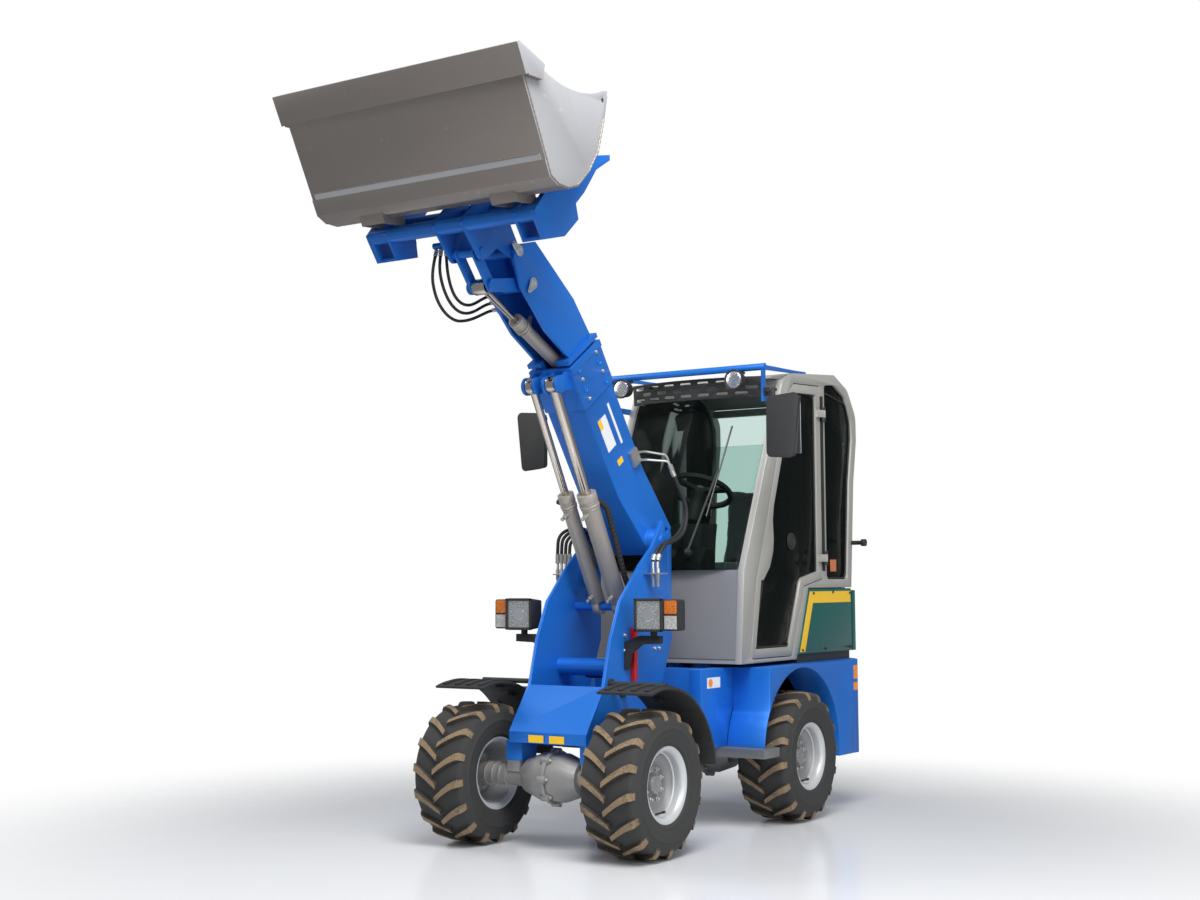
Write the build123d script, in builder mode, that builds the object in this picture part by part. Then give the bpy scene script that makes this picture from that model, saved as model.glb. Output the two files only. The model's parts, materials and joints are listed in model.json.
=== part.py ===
"""Compact articulated wheel loader with a telescopic boom, as separate pieces.

Frame: millimetres, +Z up, +Y to the rear of the machine, +X to its left.
The origin lies on the floor under the middle of the whole machine.
Side-view outlines are written as (station, height) pairs: station is measured
rearward from the front axle, height from the floor.
"""

import os
from math import cos, radians, sin, sqrt, tan

from build123d import *

os.makedirs("parts", exist_ok=True)

# ---------------------------------------------------------------- driving sizes
FRONT_AXLE_Y = -569        # front axle line, from the origin
WHEELBASE = 1422
TRACK = 931                # between the middles of the two tyres of an axle
AXLE_HEIGHT = 330          # equals the loaded radius of the tyres
PIVOT_STATION = WHEELBASE / 2   # vertical pivot between the two frames

PIN_FIT = 0.05             # running fit of a bore on its pin, per side
SEAT = 0.3                 # gap between a piece and what carries it
PIN_GAP = 3                # sideways gap beside a moving eye

# tyre and rim
TYRE_RADIUS = 330
LUG_HEIGHT = 24
TREAD_HALF = 128
BULGE_HALF = 148           # half of the section width of the tyre
BEAD_RADIUS = 154
BEAD_HALF = 122
AXLE_TUBE_RADIUS = 52
HUB_RADIUS = 92
DIFF_RADIUS = 112
DIFF_FLANGE_HALF = 11
DIFF_LUGS = 8
AXLE_PAD_X = 208
AXLE_PAD_TOP = 400
FLANGE_RADIUS = 172
RIM_SHEET = 9
LUGS_A_SIDE = 16
LUG_WIDTH = 34
RIM_DISC_OUT = 36          # rim disc, outward from the middle of the tyre
HUB_CAP_RADIUS = 46
HUB_CAP_LENGTH = 30
LUG_SWEEP = 38             # degrees between a lug and the axle direction

# front frame
TOWER_INNER = 200          # half the space between the two tower plates
TOWER_PLATE = 16
BOOM_PIVOT = (600, 1427)   # station, height
BOOM_PIN_RADIUS = 32
TIE_DOWN = (640, 1478)     # hole for a shackle in each tower plate
TIE_DOWN_RADIUS = 14
CYLINDER_BASE = (470, 1110)
CYLINDER_PIN_RADIUS = 24
NOSE_LIP = (-78, 538)
NOSE_TOP = (72, 744)
NOSE_PLATE = 14

# pieces on the front frame
FRONT_FENDER_MID, FRONT_FENDER_HALF = 460, 145
FRONT_FENDER_RADIUS = 420
FENDER_RIBS = (-105, -35, 35, 105)      # middles of the ribs, across the fender
FENDER_RIB_HALF = 12
FENDER_BARS = (125, 225)                # stations of the bars that carry a fender
FENDER_BAR_RADIUS = 12
LAMP_X, LAMP_STATION, LAMP_HEIGHT = 372, 215, 1072
LAMP_WIDTH, LAMP_TALL, LAMP_DEPTH = 155, 155, 95
SIGNAL_WIDTH = 78          # direction light beside the headlamp
LAMP_ARM_TOP = 975
COUPLING_STATION, COUPLING_HEIGHT, COUPLING_TOP = 452, 1262, 60
COUPLING_RADIUS = 7.5
# side of the machine and where the couplings stand across it
COUPLINGS = ((1, (252, 278)), (-1, (-234, -258, -282, -306)))

# articulation
KING_PIN_RADIUS = 32
POST_RADIUS = 65
POST_LOW, POST_HIGH = 410, 650
EAR_PLATE = 25
EAR_RADIUS = 74
EAR_GAP = 4
EAR_LOW = POST_LOW - EAR_GAP - EAR_PLATE

# rear frame
RAIL_OUTER = 250
RAIL_PLATE = 20
RAIL_LOW, RAIL_HIGH = 450, 600
FRONT_WALL_STATION = 850
BODY_TOP = 795
TANK_INNER, TANK_OUTER = 275, 345
TANK_FRONT = 740
TANK_LOW = 405
FENDER_OUTER = 555
ARCH_RADIUS = 430
ARCH_CENTRE = (WHEELBASE + 8, 350)
FENDER_SHEET = 10
BODY_REAR = WHEELBASE + 908
WEIGHT_FRONT = WHEELBASE + 618
WEIGHT_LOW = 290
REAR_LAMP_X, REAR_LAMP_HEIGHT = 145, 720
REAR_LAMP_WIDTH, REAR_LAMP_TALL, REAR_LAMP_DEPTH = 110, 60, 25
JAW_LOW, JAW_PLATE, JAW_HOLE_RADIUS = 215, 20, 13
JAW_STATION = BODY_REAR - 68
HATCH_SLOTS, HATCH_SLOT_LOW = 7, 880
HATCH_SLOT_LENGTH, HATCH_SLOT_WIDTH = 520, 14

CROSS_MEMBERS = (1020, WHEELBASE + 178, WHEELBASE + 478)
CAB_MOUNTS = ((180, 1045), (-180, 1045), (215, 1440), (-215, 1440))
HATCH_PIN_RADIUS = 9
HATCH_LUG_X, HATCH_LUG, HATCH_LUG_RADIUS = 380, 20, 16
STEER_PIN_RADIUS = 13
STEER_BARREL_LENGTH = 365
BARREL_FLOOR = 52          # blind end of a cylinder's bore, from its base pin
LIFT_STROKE = 490          # how far the two boom rods run in as the boom comes down
TILT_STROKE = 232          # how far the tilt rod runs in from the parked bucket
STEER_STROKE = 82          # each way from straight ahead

# cab
CAB_HALF = 460
CAB_WALL = 35
CAB_LOW = 815
CAB_FLOOR_SHEET = 30
SILL_HEIGHT = 1190         # top of the engine box behind the seat
HATCH_HINGE = (2272, SILL_HEIGHT - 10)   # station, height
GLASS = 6
SCREEN_BOW = 60
DOOR_GAP = 5
DOOR_RIM = 46
DOOR_HINGE = (CAB_HALF + 15, 1885)   # across, station
DOOR_HINGE_RADIUS = 9
DOOR_HINGE_HEIGHTS = (1330, 2120)
MIRROR_X, MIRROR_LOW, MIRROR_HIGH = 757, 1820, 2143
MIRROR_WIDTH = 180
MIRROR_TUBE = 9
VISOR_LOW, VISOR_TALL = 2190, 110
VISOR_FOLDS = [(-400, 1330), (-260, 1282), (-90, 1257), (90, 1257), (260, 1282), (400, 1330)]
VISOR_ROWS, VISOR_PITCH, VISOR_SLOT = 3, 106, 66
ROOF_EDGE_LOW = 2291       # under the front edge of the roof
BAR_PLATE = 12
STRAP_LOW = 2150
WORK_LAMP_X, WORK_LAMP_RADIUS = 345, 50
STEP_OUTER = 600
STEP_STATION, STEP_LENGTH = WHEELBASE - 432, 160

# boom
BOOM_ANGLE = 55.2          # above the horizontal, as parked
BOOM_HALF = 110
BOOM_UNDER, BOOM_OVER = -71, 200    # faces below and above the pivot line
BOOM_WALL = 12
SLEEVE_START = 790
SLEEVE_PLATE = 8
BOOM_LENGTH = 1015
ROOT_LENGTH = 300
ROOT_TAIL = -43
ROOT_HALF = 165
INNER_GAP = 10
INNER_WALL = 10
INNER_TAIL = 312
COLLAR_START = 1030
COLLAR_LENGTH = 22
MOUTH_LENGTH = 34
PAD_LENGTH = 60
ROD_BRACKET = (-88, 2140)  # pin of both rods on the boom
LIFT_X, LEVEL_X = 50, -70
LIFT_EYE_HALF, LEVEL_EYE_HALF = 22, 18
EYE_RADIUS = 42
BRACKET_PLATE = 14

# head, linkage and hitch
HITCH_PIVOT = (-435, 2705)
LINK_PIN = (-672, 2665)
ROD_PIN = (-564, 2533)
ROCKER_PIVOT = (ROD_PIN[0] - LINK_PIN[0] + HITCH_PIVOT[0],
                ROD_PIN[1] - LINK_PIN[1] + HITCH_PIVOT[1])
HEAD_INNER, HEAD_PLATE = 86, 14
HITCH_EAR_INNER, HITCH_EAR_PLATE = 70, 13
ROCKER_INNER, ROCKER_PLATE = 55, 12
LINK_INNER, LINK_PLATE = 40, 12
HITCH_PIN_RADIUS = 26
LINK_PIN_RADIUS = 20
TILT_BASE_ALONG, TILT_BASE_UP = 930, 44
TILT_EYE_HALF = 34
TILT_GLAND_FROM_ROD_PIN = 273

# hitch frame and bucket
HITCH_HALF = 466
HITCH_TUBES = (((-770, 2772), 35), ((-590, 2850), 38), ((-365, 3060), 16))
HOSE_BAR, HOSE_BAR_RADIUS = (-655, 2722), 14
HOSE_SEAT = -112           # side face of the block where the hoses of the hitch end
HITCH_BOX_X, HITCH_BOX_PLATE = 345, 12   # inner plate of each end box
HITCH_SIDE_PLATE = 26
BUCKET_HALF = 636
BLADE_HALF = 664
BUCKET_PLATE = 12
BLADE_WIDTH, BLADE_PLATE = 130, 20
LIFT_HOLE_RADIUS = 10
BUCKET_BRACKETS = (300, 420, -300, -420)

# cylinders: bore tube and rod radii
LIFT_BARREL_RADIUS, LIFT_ROD_RADIUS = 44, 24
LEVEL_BARREL_RADIUS, LEVEL_ROD_RADIUS = 36, 19
TILT_BARREL_RADIUS, TILT_ROD_RADIUS = 36, 18
STEER_BARREL_RADIUS, STEER_ROD_RADIUS = 28, 14
PIPE_END_A, PIPE_END_B = (206, 694, 1806), (230, 672, 1776)   # ends of the boom's pipes
BARREL_LENGTH = 610        # lift and levelling barrels, pin to gland
STEER_X, STEER_Z = 120, 320
STEER_EYE_HALF = 16
STEER_BASE_STATION, STEER_EYE_STATION = PIVOT_STATION + 339, PIVOT_STATION - 211


# ---------------------------------------------------------------- construction
def side_plane(x):
    """Side view at x: local x is the station, local y the height, +X normal."""
    return Plane(origin=(x, FRONT_AXLE_Y, 0), x_dir=(0, 1, 0), z_dir=(1, 0, 0))


def top_plane(z):
    """Plan view at height z: local x is +X, local y the station."""
    return Plane(origin=(0, FRONT_AXLE_Y, z))


def front_plane(station):
    """Front view at a station: local x is +X, local y the height, -Y normal."""
    origin = (0, FRONT_AXLE_Y + station, 0)
    return Plane(origin=origin, x_dir=(1, 0, 0), z_dir=(0, -1, 0))


ALONG = (-cos(radians(BOOM_ANGLE)), sin(radians(BOOM_ANGLE)))
UP_FROM_BOOM = (ALONG[1], -ALONG[0])


def on_boom(along, up):
    """Station and height of a point given along the boom and square to it."""
    return (BOOM_PIVOT[0] + along * ALONG[0] + up * UP_FROM_BOOM[0],
            BOOM_PIVOT[1] + along * ALONG[1] + up * UP_FROM_BOOM[1])


def boom_section(along):
    """Plane square to the boom: local x is +X, local y is up from the boom."""
    station, height = on_boom(along, 0)
    return Plane(origin=(0, FRONT_AXLE_Y + station, height), x_dir=(1, 0, 0),
                 z_dir=(0, ALONG[0], ALONG[1]))


def boom_side(x):
    """Side view of the boom at x: along, up. The normal points to -X."""
    return Plane(origin=(x, FRONT_AXLE_Y + BOOM_PIVOT[0], BOOM_PIVOT[1]),
                 x_dir=(0, ALONG[0], ALONG[1]), z_dir=(-1, 0, 0))


def outline(plane, points, radius=0):
    """A closed outline of straight sides, its corners rounded by one radius."""
    with BuildSketch(plane) as drawn:
        with BuildLine():
            Polyline(*points, close=True)
        make_face()
        if radius:
            fillet(drawn.vertices(), radius)
    return drawn.sketch


def flat_outline(points, radius=0):
    """The same outline in a sketch's own plane, to be added inside a sketch."""
    return outline(Plane.XY, points, radius)


def rounded(points, corners):
    """A closed outline with some corners rounded; corners maps index to radius."""
    with BuildSketch(Plane.XY) as drawn:
        with BuildLine():
            Polyline(*points, close=True)
        make_face()
        for index, radius in corners.items():
            corner = drawn.vertices().sort_by_distance((points[index][0], points[index][1], 0))[0]
            fillet(corner, radius)
    return drawn.sketch


def beside(first, second, share, gap):
    """Point at a share of the way from first to second, off to the right by gap."""
    run, rise = second[0] - first[0], second[1] - first[1]
    length = sqrt(run ** 2 + rise ** 2)
    return (first[0] + share * run + gap * rise / length,
            first[1] + share * rise - gap * run / length)


def side_plate(points, x, thickness, mode=Mode.ADD, radius=0):
    """A plate drawn in side view, from x to x + thickness."""
    extrude(outline(side_plane(x), points, radius), amount=thickness, mode=mode)


def cross_bar(centre, radius, x_from, x_to, mode=Mode.ADD):
    """A round bar or bore along X at a station and height."""
    with BuildSketch(side_plane(x_from)) as ring:
        with Locations(centre):
            Circle(radius)
    extrude(ring.sketch, amount=x_to - x_from, mode=mode)


def link_plate(first, second, radius, x, thickness, mode=Mode.ADD):
    """A flat bar with round ends between two pin centres."""
    with BuildSketch(side_plane(x)) as bar:
        SlotCenterPoint(
            ((first[0] + second[0]) / 2, (first[1] + second[1]) / 2),
            second, 2 * radius)
    extrude(bar.sketch, amount=thickness, mode=mode)


def pin_plane(x, start, target):
    """Plane at start whose normal points at target, both station and height."""
    direction = (0, target[0] - start[0], target[1] - start[1])
    return Plane(origin=(x, FRONT_AXLE_Y + start[0], start[1]),
                 x_dir=(1, 0, 0), z_dir=direction)


def distance(first, second):
    """Length between two pin centres."""
    return sqrt((first[0] - second[0]) ** 2 + (first[1] - second[1]) ** 2)


# ---------------------------------------------------------------- wheels
CARCASS_RADIUS = TYRE_RADIUS - LUG_HEIGHT
BULGE_RADIUS = 238
TYRE_SIDES = 32            # flats round the carcass
LUG_FOOT = 40              # how deep a lug's root lies under its top
LUG_INSET = 2              # how far a lug ends inside the tread edge

# half section of the carcass: radius over the flats' corners, offset along the axle
CARCASS = (
    (FLANGE_RADIUS, BEAD_HALF),
    (BULGE_RADIUS, BULGE_HALF),
    (CARCASS_RADIUS, TREAD_HALF),
)
carcass_sections = list(CARCASS)
carcass_sections += [(radius, -offset_x) for radius, offset_x in reversed(CARCASS)]


def across_axle(offset_x):
    """Plane square to the axle at an offset from the middle of the tyre."""
    return Plane(origin=(offset_x, 0, 0), x_dir=(0, 0, -1), z_dir=(1, 0, 0))


with BuildPart() as tyre:
    for radius, offset_x in carcass_sections:
        with BuildSketch(across_axle(offset_x)):
            RegularPolygon(radius, TYRE_SIDES)
    loft(ruled=True)
    # chevron lugs, half a pitch apart on the two sides
    lug_rise = (TREAD_HALF - LUG_INSET) * sin(radians(LUG_SWEEP))
    for half in (1, -1):
        for turn in range(LUGS_A_SIDE):
            angle = radians((turn + half / 4) * 360 / LUGS_A_SIDE)
            radial = (0, sin(angle), cos(angle))
            foot = TYRE_RADIUS - LUG_FOOT
            lug_plane = Plane(origin=(0, foot * radial[1], foot * radial[2]),
                              x_dir=(half, 0, 0), z_dir=radial)
            with BuildSketch(lug_plane):
                with BuildLine():
                    Polyline((-10, -half * LUG_WIDTH / 2),
                             (TREAD_HALF - LUG_INSET, half * (lug_rise - LUG_WIDTH / 2)),
                             (TREAD_HALF - LUG_INSET, half * (lug_rise + LUG_WIDTH / 2)),
                             (-10, half * LUG_WIDTH / 2), close=True)
                make_face()
            extrude(amount=LUG_FOOT + 20)
    # the lugs end on one round
    with BuildSketch(across_axle(-BULGE_HALF - 5)):
        RegularPolygon(TYRE_RADIUS + 60, TYRE_SIDES)
        RegularPolygon(TYRE_RADIUS, TYRE_SIDES, mode=Mode.SUBTRACT)
    extrude(amount=2 * BULGE_HALF + 10, mode=Mode.SUBTRACT)
    # opening for the rim
    with BuildSketch(across_axle(-BEAD_HALF)):
        Circle(BEAD_RADIUS)
    extrude(amount=2 * BEAD_HALF, mode=Mode.SUBTRACT)

with BuildPart() as rim:
    # local x is the radius, local y runs outward along the axle
    with BuildSketch(Plane(origin=(0, 0, 0), x_dir=(0, 0, 1), z_dir=(0, 1, 0))):
        with BuildLine():
            barrel = BEAD_RADIUS - SEAT
            edge = BEAD_HALF + SEAT + RIM_SHEET
            disc = RIM_DISC_OUT
            Polyline((0, disc), (0, disc + RIM_SHEET), (barrel - 34, disc + RIM_SHEET),
                     (barrel - RIM_SHEET, disc + 40), (barrel - RIM_SHEET, edge - RIM_SHEET),
                     (FLANGE_RADIUS - 10, edge), (FLANGE_RADIUS, edge),
                     (FLANGE_RADIUS, edge - RIM_SHEET), (barrel, edge - RIM_SHEET),
                     (barrel, -edge + RIM_SHEET), (FLANGE_RADIUS, -edge + RIM_SHEET),
                     (FLANGE_RADIUS, -edge), (FLANGE_RADIUS - 10, -edge),
                     (barrel - RIM_SHEET, -edge + RIM_SHEET),
                     (barrel - RIM_SHEET, disc - 8), (barrel - 30, disc), close=True)
        make_face()
    revolve(axis=Axis.X)
    # hub cap
    with BuildSketch(Plane(origin=(disc + RIM_SHEET, 0, 0), z_dir=(1, 0, 0))):
        Circle(HUB_CAP_RADIUS)
    extrude(amount=HUB_CAP_LENGTH, taper=8)

# name, side (+1 left, -1 right), axle station
WHEELS = (
    ("front_left", 1, 0),
    ("front_right", -1, 0),
    ("rear_left", 1, WHEELBASE),
    ("rear_right", -1, WHEELBASE),
)
for wheel_name, side, station in WHEELS:
    centre = Location((side * TRACK / 2, FRONT_AXLE_Y + station, AXLE_HEIGHT))
    placed_tyre = tyre.part.moved(centre)
    placed_tyre.label = "tyre_" + wheel_name
    export_step(placed_tyre, "parts/tyre_" + wheel_name + ".step")
    turned = rim.part if side > 0 else rim.part.mirror(Plane.YZ)
    placed_rim = turned.moved(centre)
    placed_rim.label = "rim_" + wheel_name
    export_step(placed_rim, "parts/rim_" + wheel_name + ".step")

# ---------------------------------------------------------------- axles
HUB_FACE = TRACK / 2 + RIM_DISC_OUT - SEAT
for axle_name, station in (("front_axle", 0), ("rear_axle", WHEELBASE)):
    centre = (station, AXLE_HEIGHT)
    with BuildPart() as axle:
        # tube, hub flanges and the differential housing
        cross_bar(centre, AXLE_TUBE_RADIUS, -HUB_FACE + 60, HUB_FACE - 60)
        for side in (1, -1):
            with BuildSketch(Plane(origin=(side * (HUB_FACE - 60), FRONT_AXLE_Y + station,
                                           AXLE_HEIGHT), z_dir=(side, 0, 0))):
                Circle(HUB_RADIUS)
            extrude(amount=60)
            with BuildSketch(Plane(origin=(side * 60, FRONT_AXLE_Y + station, AXLE_HEIGHT),
                                   z_dir=(side, 0, 0))):
                Circle(DIFF_RADIUS)
            extrude(amount=90, taper=20)
            # pads that carry the frame
            with BuildSketch(top_plane(AXLE_HEIGHT + 20)):
                with Locations((side * AXLE_PAD_X, station)):
                    Rectangle(70, 110)
            extrude(amount=AXLE_PAD_TOP - AXLE_HEIGHT - 20)
        cross_bar(centre, DIFF_RADIUS, -60, 60)
        # flange of the differential with its bolt lugs
        cross_bar(centre, DIFF_RADIUS + 12, -DIFF_FLANGE_HALF, DIFF_FLANGE_HALF)
        with BuildSketch(side_plane(-2 * DIFF_FLANGE_HALF)):
            with Locations(centre):
                with PolarLocations(DIFF_RADIUS + 6, DIFF_LUGS):
                    Circle(17)
        extrude(amount=4 * DIFF_FLANGE_HALF)
        # pinion housing towards the middle of the machine
        nose = 1 if station == 0 else -1
        with BuildSketch(Plane(origin=(0, FRONT_AXLE_Y + station, AXLE_HEIGHT),
                               x_dir=(1, 0, 0), z_dir=(0, nose, 0))):
            Circle(62)
        extrude(amount=DIFF_RADIUS + 90, taper=4)
    axle.part.label = axle_name
    export_step(axle.part, "parts/" + axle_name + ".step")

# ---------------------------------------------------------------- front chassis
TOWER = [(-78, 486), NOSE_LIP, NOSE_TOP, (132, 957), (217, 1135), (390, 1306),
         (502, 1394), (594, 1526), (674, 1493), (687, 1445), (684, 1278), (681, 940),
         (600, 760), (560, 660), (560, 455), (130, 455), (60, 486)]
with BuildPart() as front_chassis:
    for x in (TOWER_INNER, -TOWER_INNER - TOWER_PLATE):
        side_plate(TOWER, x, TOWER_PLATE)
        cross_bar(TIE_DOWN, TIE_DOWN_RADIUS, x, x + TOWER_PLATE, mode=Mode.SUBTRACT)
    # sloping nose plate, floor plate and rear wall between the towers
    side_plate([NOSE_LIP, NOSE_TOP, (NOSE_TOP[0] + 4, NOSE_TOP[1] - 20),
                (NOSE_LIP[0] + 14, NOSE_LIP[1] - 6), (NOSE_LIP[0] + 14, 486),
                (NOSE_LIP[0], 486)], -TOWER_INNER, 2 * TOWER_INNER)
    side_plate([(130, 455), (560, 455), (560, 470), (130, 470)],
               -TOWER_INNER, 2 * TOWER_INNER)
    side_plate([(545, EAR_LOW), (560, EAR_LOW), (560, 700), (545, 700)],
               -TOWER_INNER, 2 * TOWER_INNER)
    cross_bar((330, 820), 42, -TOWER_INNER, TOWER_INNER)
    # pads on the axle
    for side in (1, -1):
        with BuildSketch(top_plane(AXLE_PAD_TOP + SEAT)):
            with Locations((side * (TOWER_INNER + TOWER_PLATE / 2), 10)):
                Rectangle(90, 120)
        extrude(amount=492 - AXLE_PAD_TOP)
    # ears round the king pin
    for low in (EAR_LOW, POST_HIGH + EAR_GAP):
        with BuildSketch(top_plane(low)):
            with BuildLine():
                Polyline((-EAR_RADIUS, PIVOT_STATION), (-110, 552), (110, 552),
                         (EAR_RADIUS, PIVOT_STATION))
                ThreePointArc((EAR_RADIUS, PIVOT_STATION), (0, PIVOT_STATION + EAR_RADIUS),
                              (-EAR_RADIUS, PIVOT_STATION))
            make_face()
            with Locations((0, PIVOT_STATION)):
                Circle(KING_PIN_RADIUS + PIN_FIT, mode=Mode.SUBTRACT)
        extrude(amount=EAR_PLATE)
    # pins of the boom and of the two cylinders
    cross_bar(BOOM_PIVOT, BOOM_PIN_RADIUS, -TOWER_INNER - TOWER_PLATE - 12,
              TOWER_INNER + TOWER_PLATE + 12)
    cross_bar(CYLINDER_BASE, CYLINDER_PIN_RADIUS, -TOWER_INNER - TOWER_PLATE - 10,
              TOWER_INNER + TOWER_PLATE + 10)
    # clevis of the steering cylinder
    with BuildSketch(top_plane(STEER_Z + STEER_EYE_HALF + PIN_GAP)):
        with Locations((STEER_X, STEER_EYE_STATION - 5)):
            Rectangle(56, 60)
    extrude(amount=460 - STEER_Z - STEER_EYE_HALF - PIN_GAP)
front_chassis.part.label = "front_chassis"
export_step(front_chassis.part, "parts/front_chassis.step")

# ---------------------------------------------------------------- front fenders
# height of the arch over a station
def fender_top(station):
    """Height of the outer face of the front arch at a station."""
    return AXLE_HEIGHT + sqrt((FRONT_FENDER_RADIUS + FENDER_SHEET) ** 2 - station ** 2)


with BuildPart() as front_fenders:
    for side in (1, -1):
        with BuildSketch(side_plane(side * FRONT_FENDER_MID - FRONT_FENDER_HALF)):
            with Locations((0, AXLE_HEIGHT)):
                Circle(FRONT_FENDER_RADIUS + FENDER_SHEET)
                Circle(FRONT_FENDER_RADIUS, mode=Mode.SUBTRACT)
            with BuildLine():
                Polyline((0, AXLE_HEIGHT), (-240, AXLE_HEIGHT + 700),
                         (900, AXLE_HEIGHT + 900), (900, AXLE_HEIGHT + 110), close=True)
            make_face(mode=Mode.INTERSECT)
        extrude(amount=2 * FRONT_FENDER_HALF)
        # raised ribs along the arch
        for rib in FENDER_RIBS:
            with BuildSketch(side_plane(side * FRONT_FENDER_MID + rib - FENDER_RIB_HALF)):
                with Locations((0, AXLE_HEIGHT)):
                    Circle(FRONT_FENDER_RADIUS + FENDER_SHEET + 7)
                    Circle(FRONT_FENDER_RADIUS + FENDER_SHEET - 1, mode=Mode.SUBTRACT)
                with BuildLine():
                    Polyline((0, AXLE_HEIGHT), (-200, AXLE_HEIGHT + 700),
                             (900, AXLE_HEIGHT + 900), (900, AXLE_HEIGHT + 180), close=True)
                make_face(mode=Mode.INTERSECT)
            extrude(amount=2 * FENDER_RIB_HALF)
        # two bars over the arch, with a foot on the tower plate
        foot_x = TOWER_INNER + TOWER_PLATE + SEAT
        reach = FRONT_FENDER_MID + 60 - foot_x
        for station in FENDER_BARS:
            height = fender_top(station) + FENDER_BAR_RADIUS + 3
            start = foot_x if side > 0 else -foot_x - reach
            cross_bar((station, height), FENDER_BAR_RADIUS, start, start + reach)
            foot = foot_x if side > 0 else -foot_x - 10
            cross_bar((station, height), 2 * FENDER_BAR_RADIUS, foot, foot + 10)
            # clip down to the sheet
            clip = side * (FRONT_FENDER_MID - 40) - 15
            side_plate([(station - 18, height - FENDER_BAR_RADIUS - 22),
                        (station + 18, height - FENDER_BAR_RADIUS - 22),
                        (station + 12, height), (station - 12, height)], clip, 30)
front_fenders.part.label = "front_fenders"
export_step(front_fenders.part, "parts/front_fenders.step")

# ---------------------------------------------------------------- headlamps
with BuildPart() as headlamps:
    for side in (1, -1):
        # lamp box, wider at the lens, and the direction light beside it
        with BuildSketch(front_plane(LAMP_STATION)):
            with Locations((side * LAMP_X, LAMP_HEIGHT)):
                RectangleRounded(LAMP_WIDTH, LAMP_TALL, 18)
        extrude(amount=-LAMP_DEPTH, taper=6)
        with BuildSketch(front_plane(LAMP_STATION + 10)):
            with Locations((side * (LAMP_X + LAMP_WIDTH / 2 + SIGNAL_WIDTH / 2 - 4),
                            LAMP_HEIGHT)):
                RectangleRounded(SIGNAL_WIDTH, LAMP_TALL - 12, 12)
        extrude(amount=-LAMP_DEPTH + 30)
        # foot of the lamp
        with BuildSketch(top_plane(LAMP_ARM_TOP - 5)):
            with Locations((side * LAMP_X, LAMP_STATION + 45)):
                Circle(16)
        extrude(amount=LAMP_HEIGHT - LAMP_TALL / 2 - LAMP_ARM_TOP + 20)
        # arm to the tower plate
        with BuildSketch(front_plane(LAMP_STATION + 30)):
            with BuildLine():
                inner = side * (TOWER_INNER + TOWER_PLATE + SEAT)
                Polyline((inner, 815), (inner, 945), (side * (LAMP_X - 70), LAMP_ARM_TOP),
                         (side * (LAMP_X + 40), LAMP_ARM_TOP),
                         (side * (LAMP_X + 40), LAMP_ARM_TOP - 36),
                         (side * (LAMP_X - 64), LAMP_ARM_TOP - 40),
                         (side * (TOWER_INNER + TOWER_PLATE + 30), 890),
                         (side * (TOWER_INNER + TOWER_PLATE + 12), 815), close=True)
            make_face()
        extrude(amount=-30)
headlamps.part.label = "headlamps"
export_step(headlamps.part, "parts/headlamps.step")

with BuildPart() as horn:
    with BuildSketch(front_plane(60)):
        with Locations((-TOWER_INNER - TOWER_PLATE - SEAT - 34, 600)):
            Circle(34)
    extrude(amount=-46)
horn.part.label = "horn"
export_step(horn.part, "parts/horn.step")

with BuildPart() as hose_couplings:
    for side, rows in COUPLINGS:
        # shelf on the tower plate with the screwed couplings through it
        with BuildSketch(top_plane(COUPLING_HEIGHT)):
            with Locations((side * (TOWER_INNER + TOWER_PLATE + SEAT + 50), COUPLING_STATION)):
                Rectangle(100, 60)
        extrude(amount=6)
        with BuildSketch(top_plane(COUPLING_HEIGHT - 60)):
            for x in rows:
                with Locations((x, COUPLING_STATION)):
                    Circle(COUPLING_RADIUS)
        extrude(amount=60 + COUPLING_TOP)
        with BuildSketch(top_plane(COUPLING_HEIGHT - 22)):
            for x in rows:
                with Locations((x, COUPLING_STATION)):
                    RegularPolygon(COUPLING_RADIUS + 3, 6)
        extrude(amount=50)
hose_couplings.part.label = "hose_couplings"
export_step(hose_couplings.part, "parts/hose_couplings.step")

with BuildPart() as safety_strut:
    with BuildSketch(side_plane(TOWER_INNER + TOWER_PLATE + SEAT)):
        with BuildLine():
            Polyline((300, 760), (330, 760), (330, 1010), (300, 1010), close=True)
        make_face()
    extrude(amount=24)
safety_strut.part.label = "safety_strut"
export_step(safety_strut.part, "parts/safety_strut.step")

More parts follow.
